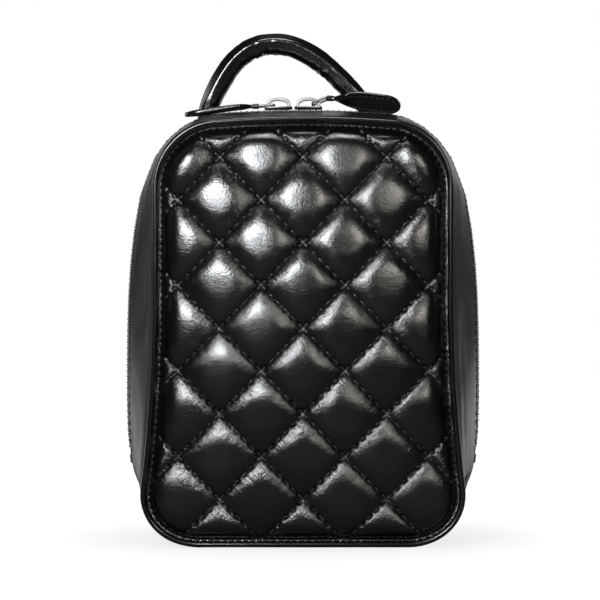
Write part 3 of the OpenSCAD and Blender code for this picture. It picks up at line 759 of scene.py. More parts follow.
def quilt_blank(name, puff):
    """The panel's leather before it is stuffed, as a grid along the seams, and the panel's rim.

    The vertex group seams holds the points that the seams and the rim keep down.
    """
    def place(i, j):
        x, z = quilt_xz(QUILT_LOW_U + i / QUILT_CELLS, QUILT_LOW_V + j / QUILT_CELLS)
        return x, 0, z

    count = QUILT_SPAN * QUILT_CELLS
    piece = skin(name, count, count, place)
    loop = panel_loop(BINDING_W + RECESS)
    co = np.array([v.co for v in piece.data.vertices]) / MM
    flat = co[:, [0, 2]]
    near, gap, within = nearest_on(loop, flat)
    solid = within & (gap > 0.8)
    kept = [p for p in piece.data.polygons if any(solid[v] for v in p.vertices)]
    used = sorted({v for p in kept for v in p.vertices})
    flat[~solid] = near[~solid]
    for index in used:
        piece.data.vertices[index].co = Vector((flat[index][0], 0, flat[index][1])) * MM
    pick(piece, {v.index for v in piece.data.vertices} - set(used))
    edit(piece, lambda: bpy.ops.mesh.delete(type="VERT"), select=False)
    flat = np.array([v.co for v in piece.data.vertices])[:, [0, 2]] / MM
    rim = nearest_on(loop, flat)[1] < 0.01
    pick(piece, ())
    for p in piece.data.polygons:
        p.select = all(rim[v] for v in p.vertices)
    edit(piece, lambda: bpy.ops.mesh.select_mode(type="FACE"), lambda: bpy.ops.mesh.delete(type="ONLY_FACE"),
         lambda: bpy.ops.mesh.select_mode(type="VERT"), lambda: bpy.ops.mesh.select_all(action="SELECT"),
         merge(0.0003), bpy.ops.mesh.delete_loose, select=False)
    seams = piece.vertex_groups.new(name="seams")
    creases = piece.data.attributes.new("crease_edge", "FLOAT", "EDGE")
    kind = []
    for v in piece.data.vertices:
        x, z = v.co.x / MM, v.co.z / MM
        u, w = quilt_uv(x, z)
        gap = nearest_on(loop, np.array([[x, z]]))[1][0]
        on_rim = gap < 0.05
        on_u, on_w = abs(u - round(u)) < 0.01, abs(w - round(w)) < 0.01
        kind.append((on_rim, on_u, on_w, round(u), round(w)))
        if on_rim or on_u or on_w:
            seams.add([v.index], 1.0, "REPLACE")
        rise = -RIM_DROP if on_rim else crown(x, z, gap) + cushion(u, w, puff / MM) * off_rim(gap)
        v.co.y = -(EDGE_Y + rise) * MM
    for e in piece.data.edges:
        a, b = (kind[v] for v in e.vertices)
        if (a[1] and b[1] and a[3] == b[3]) or (a[2] and b[2] and a[4] == b[4]):
            creases.data[e.index].value = SEAM_CREASE
    return piece, loop


def stuff(piece, pins, pressure, slack, frames=20, mass=0.002, stiff=6.0, bend=0.05):
    """Blows the piece up as cloth held at its pins, and keeps the result as its mesh."""
    only(piece)
    bpy.ops.object.modifier_add(type="CLOTH")
    cloth = piece.modifiers[-1]
    s = cloth.settings
    s.quality, s.mass, s.air_damping = 7, mass, 6.0
    s.tension_stiffness = s.compression_stiffness = stiff
    s.shear_stiffness, s.bending_stiffness = stiff / 2, bend
    s.use_pressure, s.uniform_pressure_force = True, pressure
    s.shrink_min = -slack
    s.vertex_group_mass = pins
    s.effector_weights.gravity = 0.0
    cloth.collision_settings.use_self_collision = False
    cloth.point_cache.frame_start, cloth.point_cache.frame_end = 1, frames + 1
    for n in range(1, frames + 1):
        bpy.context.scene.frame_set(n)
    bpy.ops.object.modifier_apply(modifier=cloth.name)
    bpy.context.scene.frame_set(1)
    return piece


def puff_up(piece, loop, puff, share=0.72):
    """Evens the stuffed leather towards full cushions, each a little different, under their full height."""
    # Without a seed of its own, noise_vector takes one from the clock and differs from run to run.
    noise.seed_set(CUSHION_SEED)
    co = np.array([v.co for v in piece.data.vertices]) / MM
    gaps = nearest_on(loop, co[:, [0, 2]])[1]
    for v, (x, y, z), gap in zip(piece.data.vertices, co, gaps):
        if gap < 0.05:
            continue
        u, w = quilt_uv(x, z)
        base = EDGE_Y + crown(x, z, gap)
        hump = abs(math.sin(math.pi * u) * math.sin(math.pi * w)) ** 0.7
        lean = noise.noise_vector(Vector((math.floor(u) * 3.7, math.floor(w) * 5.3, 0.5)))
        tilt = lean.x * (u - math.floor(u) - 0.5) + lean.y * (w - math.floor(w) - 0.5)
        full = (cushion(u, w, puff) + (0.35 * lean.z + 2.6 * tilt) * hump) * off_rim(gap)
        high = mix(-y - base, full, share)
        knee = puff - HEAD_ROOM
        if high > knee:
            high = knee + LEVELLING * math.tanh((high - knee) / LEVELLING)
        v.co.y = -(base + high) * MM


def pull_tight(piece, loop, count):
    """Presses the grooves of the seams into the finished panel."""
    co = np.array([v.co for v in piece.data.vertices]) / MM
    gap = rim_gap(loop, co[:, [0, 2]])
    outer = np.abs(co[:, 1]) < EDGE_Y
    down = stitch_pull(co[:, 0], co[:, 2], count) * np.clip(gap / GROOVE_FROM_RIM, 0, 1)
    co[:, 1] += np.where(outer, 0, down)
    piece.data.vertices.foreach_set("co", (co * MM).ravel())
    piece.data.update()


def tuck_in(piece):
    """Carries the quilting's rim down into the recess and under the binding."""
    only(piece)
    bpy.ops.object.mode_set(mode="EDIT")
    bpy.ops.mesh.select_mode(type="EDGE")
    bpy.ops.mesh.select_all(action="DESELECT")
    bpy.ops.mesh.select_non_manifold(extend=False, use_wire=False, use_boundary=True, use_multi_face=False,
                                     use_non_contiguous=False, use_verts=False)
    outer = panel_loop(0)
    for inset, back in ((3.7, 0.7), (2.4, 0.85), (1.9, 0.1)):
        bpy.ops.mesh.extrude_edges_move()
        bpy.ops.object.mode_set(mode="OBJECT")
        rim = [v for v in piece.data.vertices if v.select]
        flat = np.array([[v.co.x, v.co.z] for v in rim]) / MM
        near = nearest_on(outer, flat)[0]
        gap = np.linalg.norm(near - flat, axis=1)
        for v, point, to, g in zip(rim, flat, near, gap):
            q = to + (point - to) * (inset / max(g, 1e-6))
            v.co = Vector((q[0] * MM, -(EDGE_Y - RIM_DROP - back) * MM, q[1] * MM))
        bpy.ops.object.mode_set(mode="EDIT")
    bpy.ops.mesh.select_all(action="SELECT")
    bpy.ops.object.mode_set(mode="OBJECT")
    return piece


def seam_spots(side, count, puff):
    """Where each stitch of the quilting goes."""
    loop = panel_loop(BINDING_W + RECESS)
    spots = []
    for family in (0, 1):
        for line in range(-7, 8):
            for n in range(-8 * count, 8 * count):
                w = (n + 0.5) / count
                u, v = (line, w) if family == 0 else (w, line)
                x, z = quilt_xz(u, v)
                if not (abs(x) < 75 and 0 < z < 180):
                    continue
                _, gaps, within = nearest_on(loop, np.array([[x, z]]))
                gap = gaps[0]
                if not within[0] or gap < 1.0:
                    continue
                out = EDGE_Y + crown(x, z, gap) + cushion(u, v, puff) * off_rim(gap)
                pull = float(stitch_pull(np.array([x]), np.array([z]), count)[0])
                out -= pull * clamp(gap / GROOVE_FROM_RIM) - THREAD_PROUD
                sway = 0.10 * math.sin(12.9898 * (x + 3 * z))
                along = Vector((DIAMOND_W, 0, -DIAMOND_H if family == 0 else DIAMOND_H))
                spots.append(((x, side * out, z), along + Vector((sway * 6, 0, sway * 6)), (0, side, 0)))
    return spots


class CASE_OT_quilting(bpy.types.Operator):
    """Stuffs and stitches the quilted front and back panels"""
    bl_idname = "case.quilting"
    bl_label = "Quilted panels"

    def execute(self, context):
        form = context.scene.case_form
        piece, loop = quilt_blank("front_quilting", form.puff)
        flip_if(piece, sum(p.normal.y for p in piece.data.polygons) > 0)
        stuff(piece, "seams", 1000.0, form.slack)
        puff_up(piece, loop, form.puff / MM)
        tuck_in(piece)
        piece.vertex_groups.clear()
        smooth_form(piece, 2)
        pull_tight(piece, loop, form.stitches)
        back = twin(piece, "back_quilting")
        for v in back.data.vertices:
            v.co.y = -v.co.y
        edit(back, bpy.ops.mesh.flip_normals)
        for one, (side, body, word) in zip((piece, back), HALVES):
            dress(one, body, paint("quilted leather"), "quilted_leather", word + "_panel", smooth=70)
            spots = seam_spots(side, form.stitches, form.puff / MM)
            seam = thread(word + "_quilting_seams", spots, 2.1, 0.28)
            dress(seam, body, paint("thread"), "quilted_leather")
        return {"FINISHED"}


# ---- gussets and bindings ----

HIDE = 0.9              # thickness of the gussets' leather
ZIP_SEAM = 2.3          # from the gusset's fold at the zip to its row of stitches


def gusset_profile(k):
    """(inset, depth) across a gusset, from its folded edge at the zip to the binding."""
    points = [(PROUD + 1.15, ZIP_GAP + 1.1), (PROUD + 0.8, ZIP_GAP + 0.25), (PROUD + 0.35, ZIP_GAP),
              (PROUD, ZIP_GAP + 0.35)]
    for n in range(25):
        y = mix(ZIP_GAP + 0.9, EDGE_Y + 0.05, n / 24)
        from_zip, from_edge = y - ZIP_GAP, EDGE_Y - y
        seam = 0.26 * ridge(from_zip, ZIP_SEAM, 0.4)
        crease = 0.5 * ridge(from_edge, 2.6, 0.55) - 0.32 * ridge(from_edge, 1.5, 0.7)
        wander = 2 * wave(k * 3, 0, 0, 9)
        fold = 0.42 * ridge(from_edge - 9 - wander, 0, 1.1) * step(wave(k * 4, 7, 0, 8), 0, 0.3)
        x, z = outline(k, y, 0)
        soft = 0.55 * wave(x, y, z, 26, 3.1) + 0.22 * wave(x, y, z, 9, 1.7)
        ease = step(from_zip, 1.5, 8) * step(from_edge, 0.5, 6)
        points.append((FACE_IN + seam + crease + fold * ease - soft * ease, y))
    return points


def base_profile(k):
    """(inset, depth) across the strip under the case."""
    points = []
    for n in range(41):
        y = mix(-EDGE_Y - 0.05, EDGE_Y + 0.05, n / 40)
        from_edge = EDGE_Y - abs(y)
        x, z = outline(k, y, 0)
        soft = 0.5 * wave(x, y, z, 24, 5.3) * step(from_edge, 1, 8) * step(z, 2, 10)
        inset = FACE_IN + 0.45 * ridge(from_edge, 2.6, 0.55) - soft
        points.append((max(inset, 0.05 if z < 0.5 else -0.5), y))
    return points


def edge_stitches(name, side, pitch):
    """The row of stitches along the zip."""
    depth, inset = ZIP_GAP + ZIP_SEAM, PROUD - 0.02
    line, ups = [], []
    for k in places(ZIP_FROM + 0.3, ZIP_TO - 0.3, 4, 8):
        x, z = outline(k, depth, 0)
        d = outward(k, depth, 0)
        line.append((x - d.x * inset, side * depth, z - d.y * inset))
        ups.append((d.x, 0, d.y))
    return row(name, line, pitch, 2.5, 0.3, lambda i: ups[i])


class CASE_OT_shell(bpy.types.Operator):
    """Makes the soft leather gussets of the cover and the case, the strip under them and their stitching"""
    bl_idname = "case.shell"
    bl_label = "Gussets"

    def execute(self, context):
        pitch = context.scene.case_form.edge_pitch / MM
        for side, body, word in HALVES:
            gusset = band(word + "_gusset_leather", gusset_profile, along_zip(3, 5), side, closed=False)
            thicken(flip_if(gusset, side > 0), HIDE)
            dress(gusset, body, paint("case leather"), "gusset_leather", word + "_gusset", smooth=60)
            seam = edge_stitches(word + "_gusset_stitches", side, pitch)
            dress(seam, body, paint("thread"), "gusset_leather")
        base = band("base_leather", base_profile, places(ZIP_TO, OUTLINE_N + ZIP_FROM, 3, 5), 1, closed=False)
        thicken(flip_if(base, True), HIDE)
        dress(base, "case", paint("case leather"), "gusset_leather", "base_gusset", smooth=60)
        return {"FINISHED"}


WEB_ROWS = 18
WEB_OUT, WEB_IN = 1.48, 1.84


def corner_web(name, at, columns):
    """A thin web of soft leather from the case to the cover.

    at(t, column) gives its (place, depth), with t from 0 at one side to 1 at the other.
    """
    count = len(columns)

    def place(i, j):
        j %= 2 * count
        k, depth = at(i / WEB_ROWS, columns[min(j, 2 * count - 1 - j)])
        inset = WEB_OUT if j < count else WEB_IN
        x, z = outline(k, depth, 0)
        d = outward(k, depth, 0)
        return x - d.x * inset, -depth, z - d.y * inset

    web = edit(skin(name, WEB_ROWS, 2 * count, place), merge(0.000002), fill_holes, outside)
    shade(web, paint("case leather"), 60)
    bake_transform(web)


class CASE_OT_corner_webs(bpy.types.Operator):
    """Makes the soft webs in the two lower corners, between the case and the cover"""
    bl_idname = "case.corner_webs"
    bl_label = "Corner webs"

    def execute(self, context):
        for word, foot, way in (("right", ZIP_FROM, 1), ("left", ZIP_TO, -1)):
            def beside_zip(t, depth):
                return foot + way * mix(-0.30, 0.17, t), depth

            def under_edge(t, k):
                return k, mix(EDGE_Y - 1.2, EDGE_Y + 1.6, t)

            depths = [mix(ZIP_GAP + 1.2, EDGE_Y - 0.3, n / 12) for n in range(13)]
            corner_web(word + "_upper_web", beside_zip, depths)
            ks = [foot + way * mix(-6.3, 0.1, n / 14) for n in range(15)]
            corner_web(word + "_lower_web", under_edge, ks)
        return {"FINISHED"}


def binding_profile(k):
    """(inset, depth) round a binding: out over the edge, across its front and back into the recess."""
    front, w = EDGE_Y + BINDING_D, BINDING_W
    wobble = 0.10 * wave(k * 5, 0, 0, 7, 2.2)
    return [(0.28, EDGE_Y + 0.06), (0.0 - wobble, EDGE_Y + 0.9), (0.05 - wobble, EDGE_Y + 2.3),
            (0.35, front - 0.4), (0.95, front), (1.5, front - 0.02), (2.15, front - 0.32),
            (w, EDGE_Y + 2.0 + wobble), (w, EDGE_Y + 0.9), (w - 0.25, EDGE_Y + 0.06)]


class CASE_OT_bindings(bpy.types.Operator):
    """Makes the leather bindings round the front and back panels and the stitches beside them"""
    bl_idname = "case.bindings"
    bl_label = "Bindings"

    def execute(self, context):
        for side, body, word in HALVES:
            binding = band(word + "_binding_leather", binding_profile, places(0, OUTLINE_N, 4, 6), side)
            smooth_form(binding)
            dress(binding, body, paint("trim leather"), "trim_leather", word + "_binding", smooth=70)
            line = [outline(k, EDGE_Y, BINDING_W + RECESS / 2) for k in places(0, OUTLINE_N, 4, 8)]
            curve = [(x, side * (EDGE_Y - 0.85), z) for x, z in line]
            seam = row(word + "_recess_stitches", curve, 2.8, 2.0, 0.26, lambda i: (0, side, 0))
            dress(seam, body, paint("thread"), "trim_leather")
        return {"FINISHED"}


# ---- zip ----

TAPE_PROFILE = [(LAYER_IN, 9.0), (LAYER_IN, 6.0), (LAYER_IN - 0.02, 4.6), (LAYER_IN - 0.45, 3.9),
                (CHAIN_IN - 0.2, 3.45), (CHAIN_IN - 0.42, 3.12), (CHAIN_IN - 0.2, 3.0),
                (CHAIN_IN + 0.3, 3.05), (LAYER_IN + 0.55, 4.2), (LAYER_IN + 0.6, 9.0)]


class CASE_OT_zip(bpy.types.Operator):
    """Makes the woven zip tapes and finishes the teeth and stops"""
    bl_idname = "case.zip"
    bl_label = "Zip"

    def execute(self, context):
        for side, body, word in HALVES:
            strip = band(word + "_zip_weave", lambda k: TAPE_PROFILE, along_zip(3, 5), side)
            edit(strip, fill_holes)
            dress(strip, body, paint("zip tape"), "zip_tape", word + "_zip_tape")
            repaint(paint("zip teeth"), word + "_zip_teeth", word + "_zip_stops")
        return {"FINISHED"}


def on_top(x):
    """The frame of a slider on the chain along the top, at x."""
    angle = math.atan(2 * ARCH * x / (ZIP_W / 2) ** 2)
    return Matrix.Translation((x, 0, top_z(x, 0, CHAIN_IN))) @ Matrix.Rotation(angle, 4, "Y")


def turned(degrees, axis):
    return Matrix.Rotation(math.radians(degrees), 4, axis)


WING_Z = TOOTH_H / 2 + 0.45
BAR_X = 1.8
LEFT_BAR_Z = WING_Z + WING_T + 0.3 + WIRE_D / 2
RIGHT_BAR_Z = WING_Z + WING_T + BRIDGE_H * 0.313
LEFT_BAR = (on_top(LEFT_X) @ Matrix.Translation((-BAR_X, 0, LEFT_BAR_Z)) @ turned(180, "Z")
            @ turned(LEFT_REST[2], "X"))
RIGHT_BAR = on_top(RIGHT_X) @ Matrix.Translation((BAR_X, 0, RIGHT_BAR_Z)) @ turned(RIGHT_REST[2], "X")


def link_end(rest):
    """The frame of a link's far bar, from the slider's bar; rest is (swing, fold, roll) in degrees."""
    a = math.radians(rest[0])
    return Matrix.Translation((LINK_L * math.cos(a), 0, LINK_L * math.sin(a))) @ turned(-rest[1], "Y")


class CASE_OT_sliders(bpy.types.Operator):
    """Rounds and plates the two zip sliders and their wire links"""
    bl_idname = "case.sliders"
    bl_label = "Sliders and links"

    def execute(self, context):
        for word in ("left", "right"):
            slider = copy_of(word + "_slider", word + "_slider_metal")
            round_edges(slider, 0.28, 3, above=32)
            metal = paint("plated metal")
            dress(slider, word + "_slider", metal, "slider_metal", word + "_slider", smooth=50)
            repaint(metal, word + "_pull_link")
        return {"FINISHED"}


# ---- pulls ----

PULL_TIP = PULL_W * 0.62        # length of the rounded tip
PULL_SEAM = 1.5                 # from the edge to the stitches
PULLS = (("left", LEFT_BAR, LEFT_REST, 11, 0), ("right", RIGHT_BAR, RIGHT_REST, 8, -30))


def pull_half_width(x):
    """Half the width of a pull at distance x from its bar."""
    e = PULL_L - PULL_TIP
    if x > e:
        return PULL_W / 2 * math.sqrt(max(0.0, 1 - ((x - e) / PULL_TIP) ** 2))
    return mix(1.35, PULL_W / 2, step(x, 2.4, 8.5))


def squarish(c):
    """A sine or cosine bent towards a rounded square."""
    return math.copysign(abs(c) ** 0.55, c)


def pull_spot(x, y, z, droop, twist):
    """Where a point of a flat pull goes once the pull has curled, twisted and drooped."""
    a = math.radians(twist) * step(x, 3, 16)
    z -= 0.018 * y * y * step(x, 6, 20)
    sag = -x * x * math.tan(math.radians(droop)) / (2 * PULL_L)
    return Vector((x - 0.2, y * math.cos(a) - z * math.sin(a), y * math.sin(a) + z * math.cos(a) + sag))


def make_pull(name, frame_at, droop, twist):
    """A folded leather pull: rounded edges, a dent along its stitching, and a drooping tip."""
    nu, nv = 46, 36
    xs = [PULL_L * (1 - math.cos(math.pi * (0.5 * i / nu + 0.5 * (i / nu) ** 2))) / 2 for i in range(nu + 1)]

    def place(i, j):
        x = min(xs[i], PULL_L - 0.001) if i < nu else PULL_L
        w = max(pull_half_width(x), 0.02)
        a = 2 * math.pi * j / nv
        rounded = math.sqrt(max(0, 1 - ((x - PULL_L + 1.5) / 1.5) ** 2))
        thick = PULL_T / 2 * (1.0 if x < PULL_L - 1.5 else 0.55 + 0.45 * rounded)
        y, z = w * squarish(math.cos(a)), thick * squarish(math.sin(a))
        from_edge = w - abs(y)
        if x > 5:
            z *= 1 - 0.26 * ridge(min(from_edge, PULL_L - x), PULL_SEAM, 0.45)
        z += 0.25 * wave(x, y, 0, 9, 4.2) * step(x, 5, 12)
        neck = 0.35 * ridge(x, 3.6, 0.9)
        return tuple(frame_at @ pull_spot(x, y, z * (1 - neck), droop, twist))

    return smooth_form(skin(name, nu, nv, place, closed=True))


def pull_seam_path():
    """(x, y) along the stitches of a flat pull: out, round the tip and back."""
    tip = PULL_TIP - PULL_SEAM
    turn = PULL_L - tip - PULL_SEAM
    out = [(x, pull_half_width(x) - PULL_SEAM) for x in np.linspace(6.5, turn, 16)]
    bend = [(turn + tip * math.cos(a), (PULL_W / 2 - PULL_SEAM) * math.sin(a))
            for a in np.linspace(math.pi / 2, -math.pi / 2, 14)[1:-1]]
    return out + bend + [(x, -w) for x, w in reversed(out)]


class CASE_OT_pulls(bpy.types.Operator):
    """Makes the two folded leather pulls with their stitching"""
    bl_idname = "case.pulls"
    bl_label = "Pulls"

    def execute(self, context):
        for word, bar, rest, droop, twist in PULLS:
            at = bar @ link_end(rest)
            body = word + "_tab"
            piece = make_pull(word + "_pull_leather", at, droop, twist)
            dress(piece, body, paint("handle leather"), "pull_leather", word + "_pull", smooth=60)
            piece.data.materials.append(paint("raw leather"))
            down = (at.to_3x3() @ Vector((0, 0, -1))).normalized()
            for p in piece.data.polygons:
                local = at.inverted() @ (p.center / MM)
                inner = pull_half_width(clamp(local.x, 0, PULL_L - 0.1)) - abs(local.y) > 1.2
                p.material_index = 1 if p.normal.dot(down) > 0.6 and inner and local.x > 5 else 0
            for n, up in enumerate((1, -1)):
                line = [at @ pull_spot(x, y, up * PULL_T * 0.37, droop, twist) for x, y in pull_seam_path()]
                away = up * -down
                seam = row(f"{word}_pull_stitches_{n}", line, 2.3, 1.7, 0.24, lambda i: away)
                dress(seam, body, paint("thread"), "pull_leather")
        return {"FINISHED"}


# ---- handle ----

PATCH_IN = FACE_IN - LEATHER
PATCH_HALF_X, PATCH_HALF_Y, PATCH_SEAM = 8.6, 8.2, 0.80
NECK_X, NECK_Y = 2.9, 2.3       # half sizes of the grip where it enters its patches


def grip_x(u):
    """x of the grip's middle line; u runs from -1 at its left end to 1 at its right end."""
    return -HANDLE_SHIFT + u * HANDLE_SPAN / 2 - HANDLE_LEAN * (1 - u * u)


def grip_end_z(u):
    dx = HANDLE_SPAN / 2 + 2 * HANDLE_LEAN * u
    slant = dx / math.hypot(dx, 2.2 * HANDLE_RISE)
    return top_z(grip_x(u), HANDLE_Y, PATCH_IN) + 0.7 + GRIP_T * 0.35 * slant


def grip_z(u):
    return mix(grip_end_z(-1), grip_end_z(1), (u + 1) / 2) + HANDLE_RISE * (1 - abs(u) ** 2.2)


def make_grip(wrinkle):
    """The rolled grip, with two flat facets on top and its inner side a little thicker."""
    nu, nv = 150, 60
    us = [v * (1.22 - 0.22 * v * v) for v in (2 * i / nu - 1 for i in range(nu + 1))]

    def place(i, j):
        u = us[i]
        d = Vector((grip_x(u + 0.01) - grip_x(u - 0.01), grip_z(u + 0.01) - grip_z(u - 0.01))).normalized()
        out = Vector((-d.y, d.x))
        a = 2 * math.pi * (j % nv) / nv
        neck = abs(u) ** 14
        rx, ry = mix(GRIP_T / 2, NECK_X, neck), mix(GRIP_W / 2, NECK_Y, neck)
        deg = (math.degrees(a) + 180) % 360 - 180
        cap = (step(deg, -74, -68) - step(deg, 66, 72)) * (1 - neck)
        lip = 0.22 * (ridge(deg, -66, 5) + ridge(deg, 64, 5)) * (1 - neck)
        inner = clamp((1 - math.cos(a)) / 2) ** 1.5
        s = u * 55
        gather = 0.35 + 0.65 * ridge(u, -0.22, 0.22) + 0.5 * ridge(u, 0.62, 0.1)
        folds = wave(s, deg / 28, 0, 2.6, 1.3) * 1.1 + 0.5 * wave(s, deg / 14, 4, 1.5, 8.1)
        crinkle = wrinkle / MM * folds * (0.25 + inner) * gather
        r = 1 - 0.07 + (0.36 * cap + lip + crinkle + 0.22 * wave(s, deg / 60, 9, 9, 2.7)) / 5
        thick = rx * math.cos(a) * r * (1 + 0.15 * inner * (1 - neck))
        deep = ry * math.sin(a) * r
        facets = [4.30 - (-0.309 * thick + 0.951 * abs(deep)), 4.10 - (0.743 * thick + 0.669 * abs(deep))]
        over = sum(math.log1p(math.exp(-6 * f)) / 6 for f in facets)
        over = over * (1 - neck) * (1 - 0.6 * step(-math.cos(a), 0.4, 0.9))
        shrink = max(0.8, 1 - over / math.hypot(thick, deep))
        rise = out * (thick * shrink)
        lean = (1 - u ** 4) * (0.8 + 1.2 * u)
        return grip_x(u) - lean + rise.x, HANDLE_Y + deep * shrink, grip_z(u) + rise.y

    return edit(skin("grip_leather", nu, nv, place), merge(), fill_holes, outside)


def patch_spot(u, a, b, height):
    """A point on the patch at the end u of the grip; a and b run from -1 to 1 across it."""
    x = grip_x(u) + a * PATCH_HALF_X
    y = HANDLE_Y + b * PATCH_HALF_Y * math.sqrt(1 - 0.30 * a * a)
    return x, y, top_z(x, y, FACE_IN) + height


class CASE_OT_handle(bpy.types.Operator):
    """Makes the rolled handle, with its lapped edge and wrinkles, and the patches that carry it"""
    bl_idname = "case.handle"
    bl_label = "Handle"

    def execute(self, context):
        grip = make_grip(context.scene.case_form.wrinkle)
        smooth_form(grip)
        dress(grip, "handle", paint("handle leather"), "handle_leather", "handle_grip", smooth=60)
        repaint(paint("cord"), "handle_core")
        for word, u in (("left", -1), ("right", 1)):
            n = 24

            def place(i, j):
                a, b = 2 * i / n - 1, 2 * j / n - 1
                rim = max(abs(a), abs(b))
                lift = 1.1 * (1 - step(rim, 0.90, 1.0)) + 0.05
                seam = 0.3 * ridge(rim, PATCH_SEAM, 0.035)
                boss = 0.4 * math.exp(-((a * a + b * b) / 0.12))
                return patch_spot(u, a, b, lift - seam + boss)

            patch = thicken(skin(word + "_patch_leather", n, n, place), 0.5)
            dress(patch, "case", paint("trim leather"), "trim_leather", "handle_patch_" + word, smooth=70)
            ring = []
            for t in np.linspace(0, 4, 65):
                edge, f = int(t) % 4, 2 * (t - int(t)) - 1
                a, b = ((f, -1), (1, f), (-f, 1), (-1, -f))[edge]
                ring.append(patch_spot(u, a * PATCH_SEAM, b * PATCH_SEAM, 0.95))
            seam = row(word + "_patch_stitches", ring, 2.4, 1.8, 0.26, lambda i: (0, 0, 1))
            dress(seam, "case", paint("thread"), "trim_leather")
        return {"FINISHED"}


# ---- inside ----

def velvet_face(k, low, high, count, seed):
    """(inset, depth) along the face of the side lining at place k, from depth low to high."""
    points = []
    for n in range(count + 1):
        y = mix(low, high, n / count)
        x, z = outline(k, y, 0)
        points.append((LINING_IN - 0.02 + 0.12 * wave(x, y, z, 18, seed), y))
    return points


def wall_profile(k):
    face = velvet_face(k, 7.4, FLOOR_Y - 0.1, 8, 2.4)
    return [(LINING_OUT + 0.1, 6.0), (LINING_IN + 0.2, 6.05), (LINING_IN, 6.6), *face,
            (LINING_OUT + 0.1, FLOOR_Y - 0.1)]


def floor_profile(k):
    face = velvet_face(k, -FLOOR_Y + 0.1, FLOOR_Y - 0.1, 20, 7.4)
    return [*face, (LINING_OUT + 0.1, FLOOR_Y - 0.1), (LINING_OUT + 0.1, -FLOOR_Y + 0.1)]


class CASE_OT_linings(bpy.types.Operator):
    """Makes the velvet linings of the case and the cover and finishes the boards behind them"""
    bl_idname = "case.linings"
    bl_label = "Linings"

    def execute(self, context):
        ks, rings = places(0, OUTLINE_N, 2, 4), 16
        for side, body, word in HALVES:
            def place(i, j):
                t = (j / rings) ** 0.7
                x, z = outline(ks[i], FLOOR_Y, LINING_OUT)
                x, z = mix(0.0, x, t), mix(PANEL_H / 2, z, t)
                edge_roll = 0.9 * step(t, 0.955, 1.0)
                soft = 0.16 * wave(x, side * 40, z, 24, 6.6)
                return x, side * (FLOOR_Y + 0.12 + edge_roll + soft * (1 - step(t, 0.9, 1))), z

            lining = edit(skin(word + "_velvet", len(ks) - 1, rings, place), merge())
            flip_if(lining, (sum(p.normal.y * p.area for p in lining.data.polygons) > 0) == (side > 0))
            thicken(lining, 0.8)
            dress(lining, body, paint("velvet"), "velvet_lining", word + "_lining", smooth=60)
            strip = band(word + "_side_velvet", wall_profile, along_zip(2, 4), side)
            dress(strip, body, paint("velvet"), "velvet_lining", word + "_side_lining")
        base = band("base_velvet", floor_profile, places(ZIP_TO, OUTLINE_N + ZIP_FROM, 2, 4), 1)
        dress(base, "case", paint("velvet"), "velvet_lining", "base_lining")
        repaint(paint("velvet"), "back_stiffener", "base_stiffener", "front_stiffener")
        repaint(paint("board"), "back_board", "front_board")
        return {"FINISHED"}


ROLLS, ROLL_PITCH, ROLL_DEPTH = 6, 9.8, 15.0


def box_of(node):
    """A CAD node's lowest and highest corners, in millimetres."""
    low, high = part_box(node)
    return low / MM, high / MM


class CASE_OT_ring_rolls(bpy.types.Operator):
    """Makes the padded rolls that hold rings"""
    bl_idname = "case.ring_rolls"
    bl_label = "Ring rolls"

    def execute(self, context):
        low, high = box_of("ring_rolls")
        r = (ROLL_PITCH - 0.3) / 2
        length, back = high.x - low.x, ROLL_DEPTH - r
        nu, nv = 36, 28

        def place(i, j):
            t = i / nu
            a = 2 * math.pi * (j % nv) / nv
            end = 1 - 0.9 * (max(0, abs(2 * t - 1) - 0.94) / 0.06) ** 2
            cy, cz = math.cos(a), math.sin(a)
            y = -cy * r - back if cy > 0 else -back * (1 - abs(cy) ** 0.5)
            dent = 1 + 0.03 * wave(t * 60, cy * 4, cz * 4, 5, 1.9)
            return length * t, y * (0.94 + 0.06 * end), cz * r * dent * mix(0.72, 0.99, end)

        first = edit(skin("ring_roll", nu, nv, place), merge(), fill_holes, outside)
        rolls = [first] + [twin(first, f"ring_roll_{n}") for n in range(1, ROLLS)]
        for n, roll in enumerate(rolls):
            roll.location = Vector((low.x, high.y, low.z + r + n * ROLL_PITCH)) * MM
            settle(roll)
        only(*rolls)
        bpy.ops.object.join()
        joined = added("ring_roll_velvet")
        dress(joined, "case", paint("velvet fittings"), "velvet_fittings", "ring_rolls", smooth=70)
        return {"FINISHED"}


class CASE_OT_fittings(bpy.types.Operator):
    """Makes the velvet dividers and the hook bar, and plates the hooks"""
    bl_idname = "case.fittings"
    bl_label = "Dividers and hooks"

    def execute(self, context):
        for node in ("long_divider", "short_divider", "hook_bar"):
            piece = round_edges(copy_of(node, node + "_velvet"), 0.8, 4, above=40)
            dress(piece, "case", paint("velvet fittings"), "velvet_fittings", node, smooth=50)
        repaint(paint("hook metal"), "necklace_hooks")
        return {"FINISHED"}


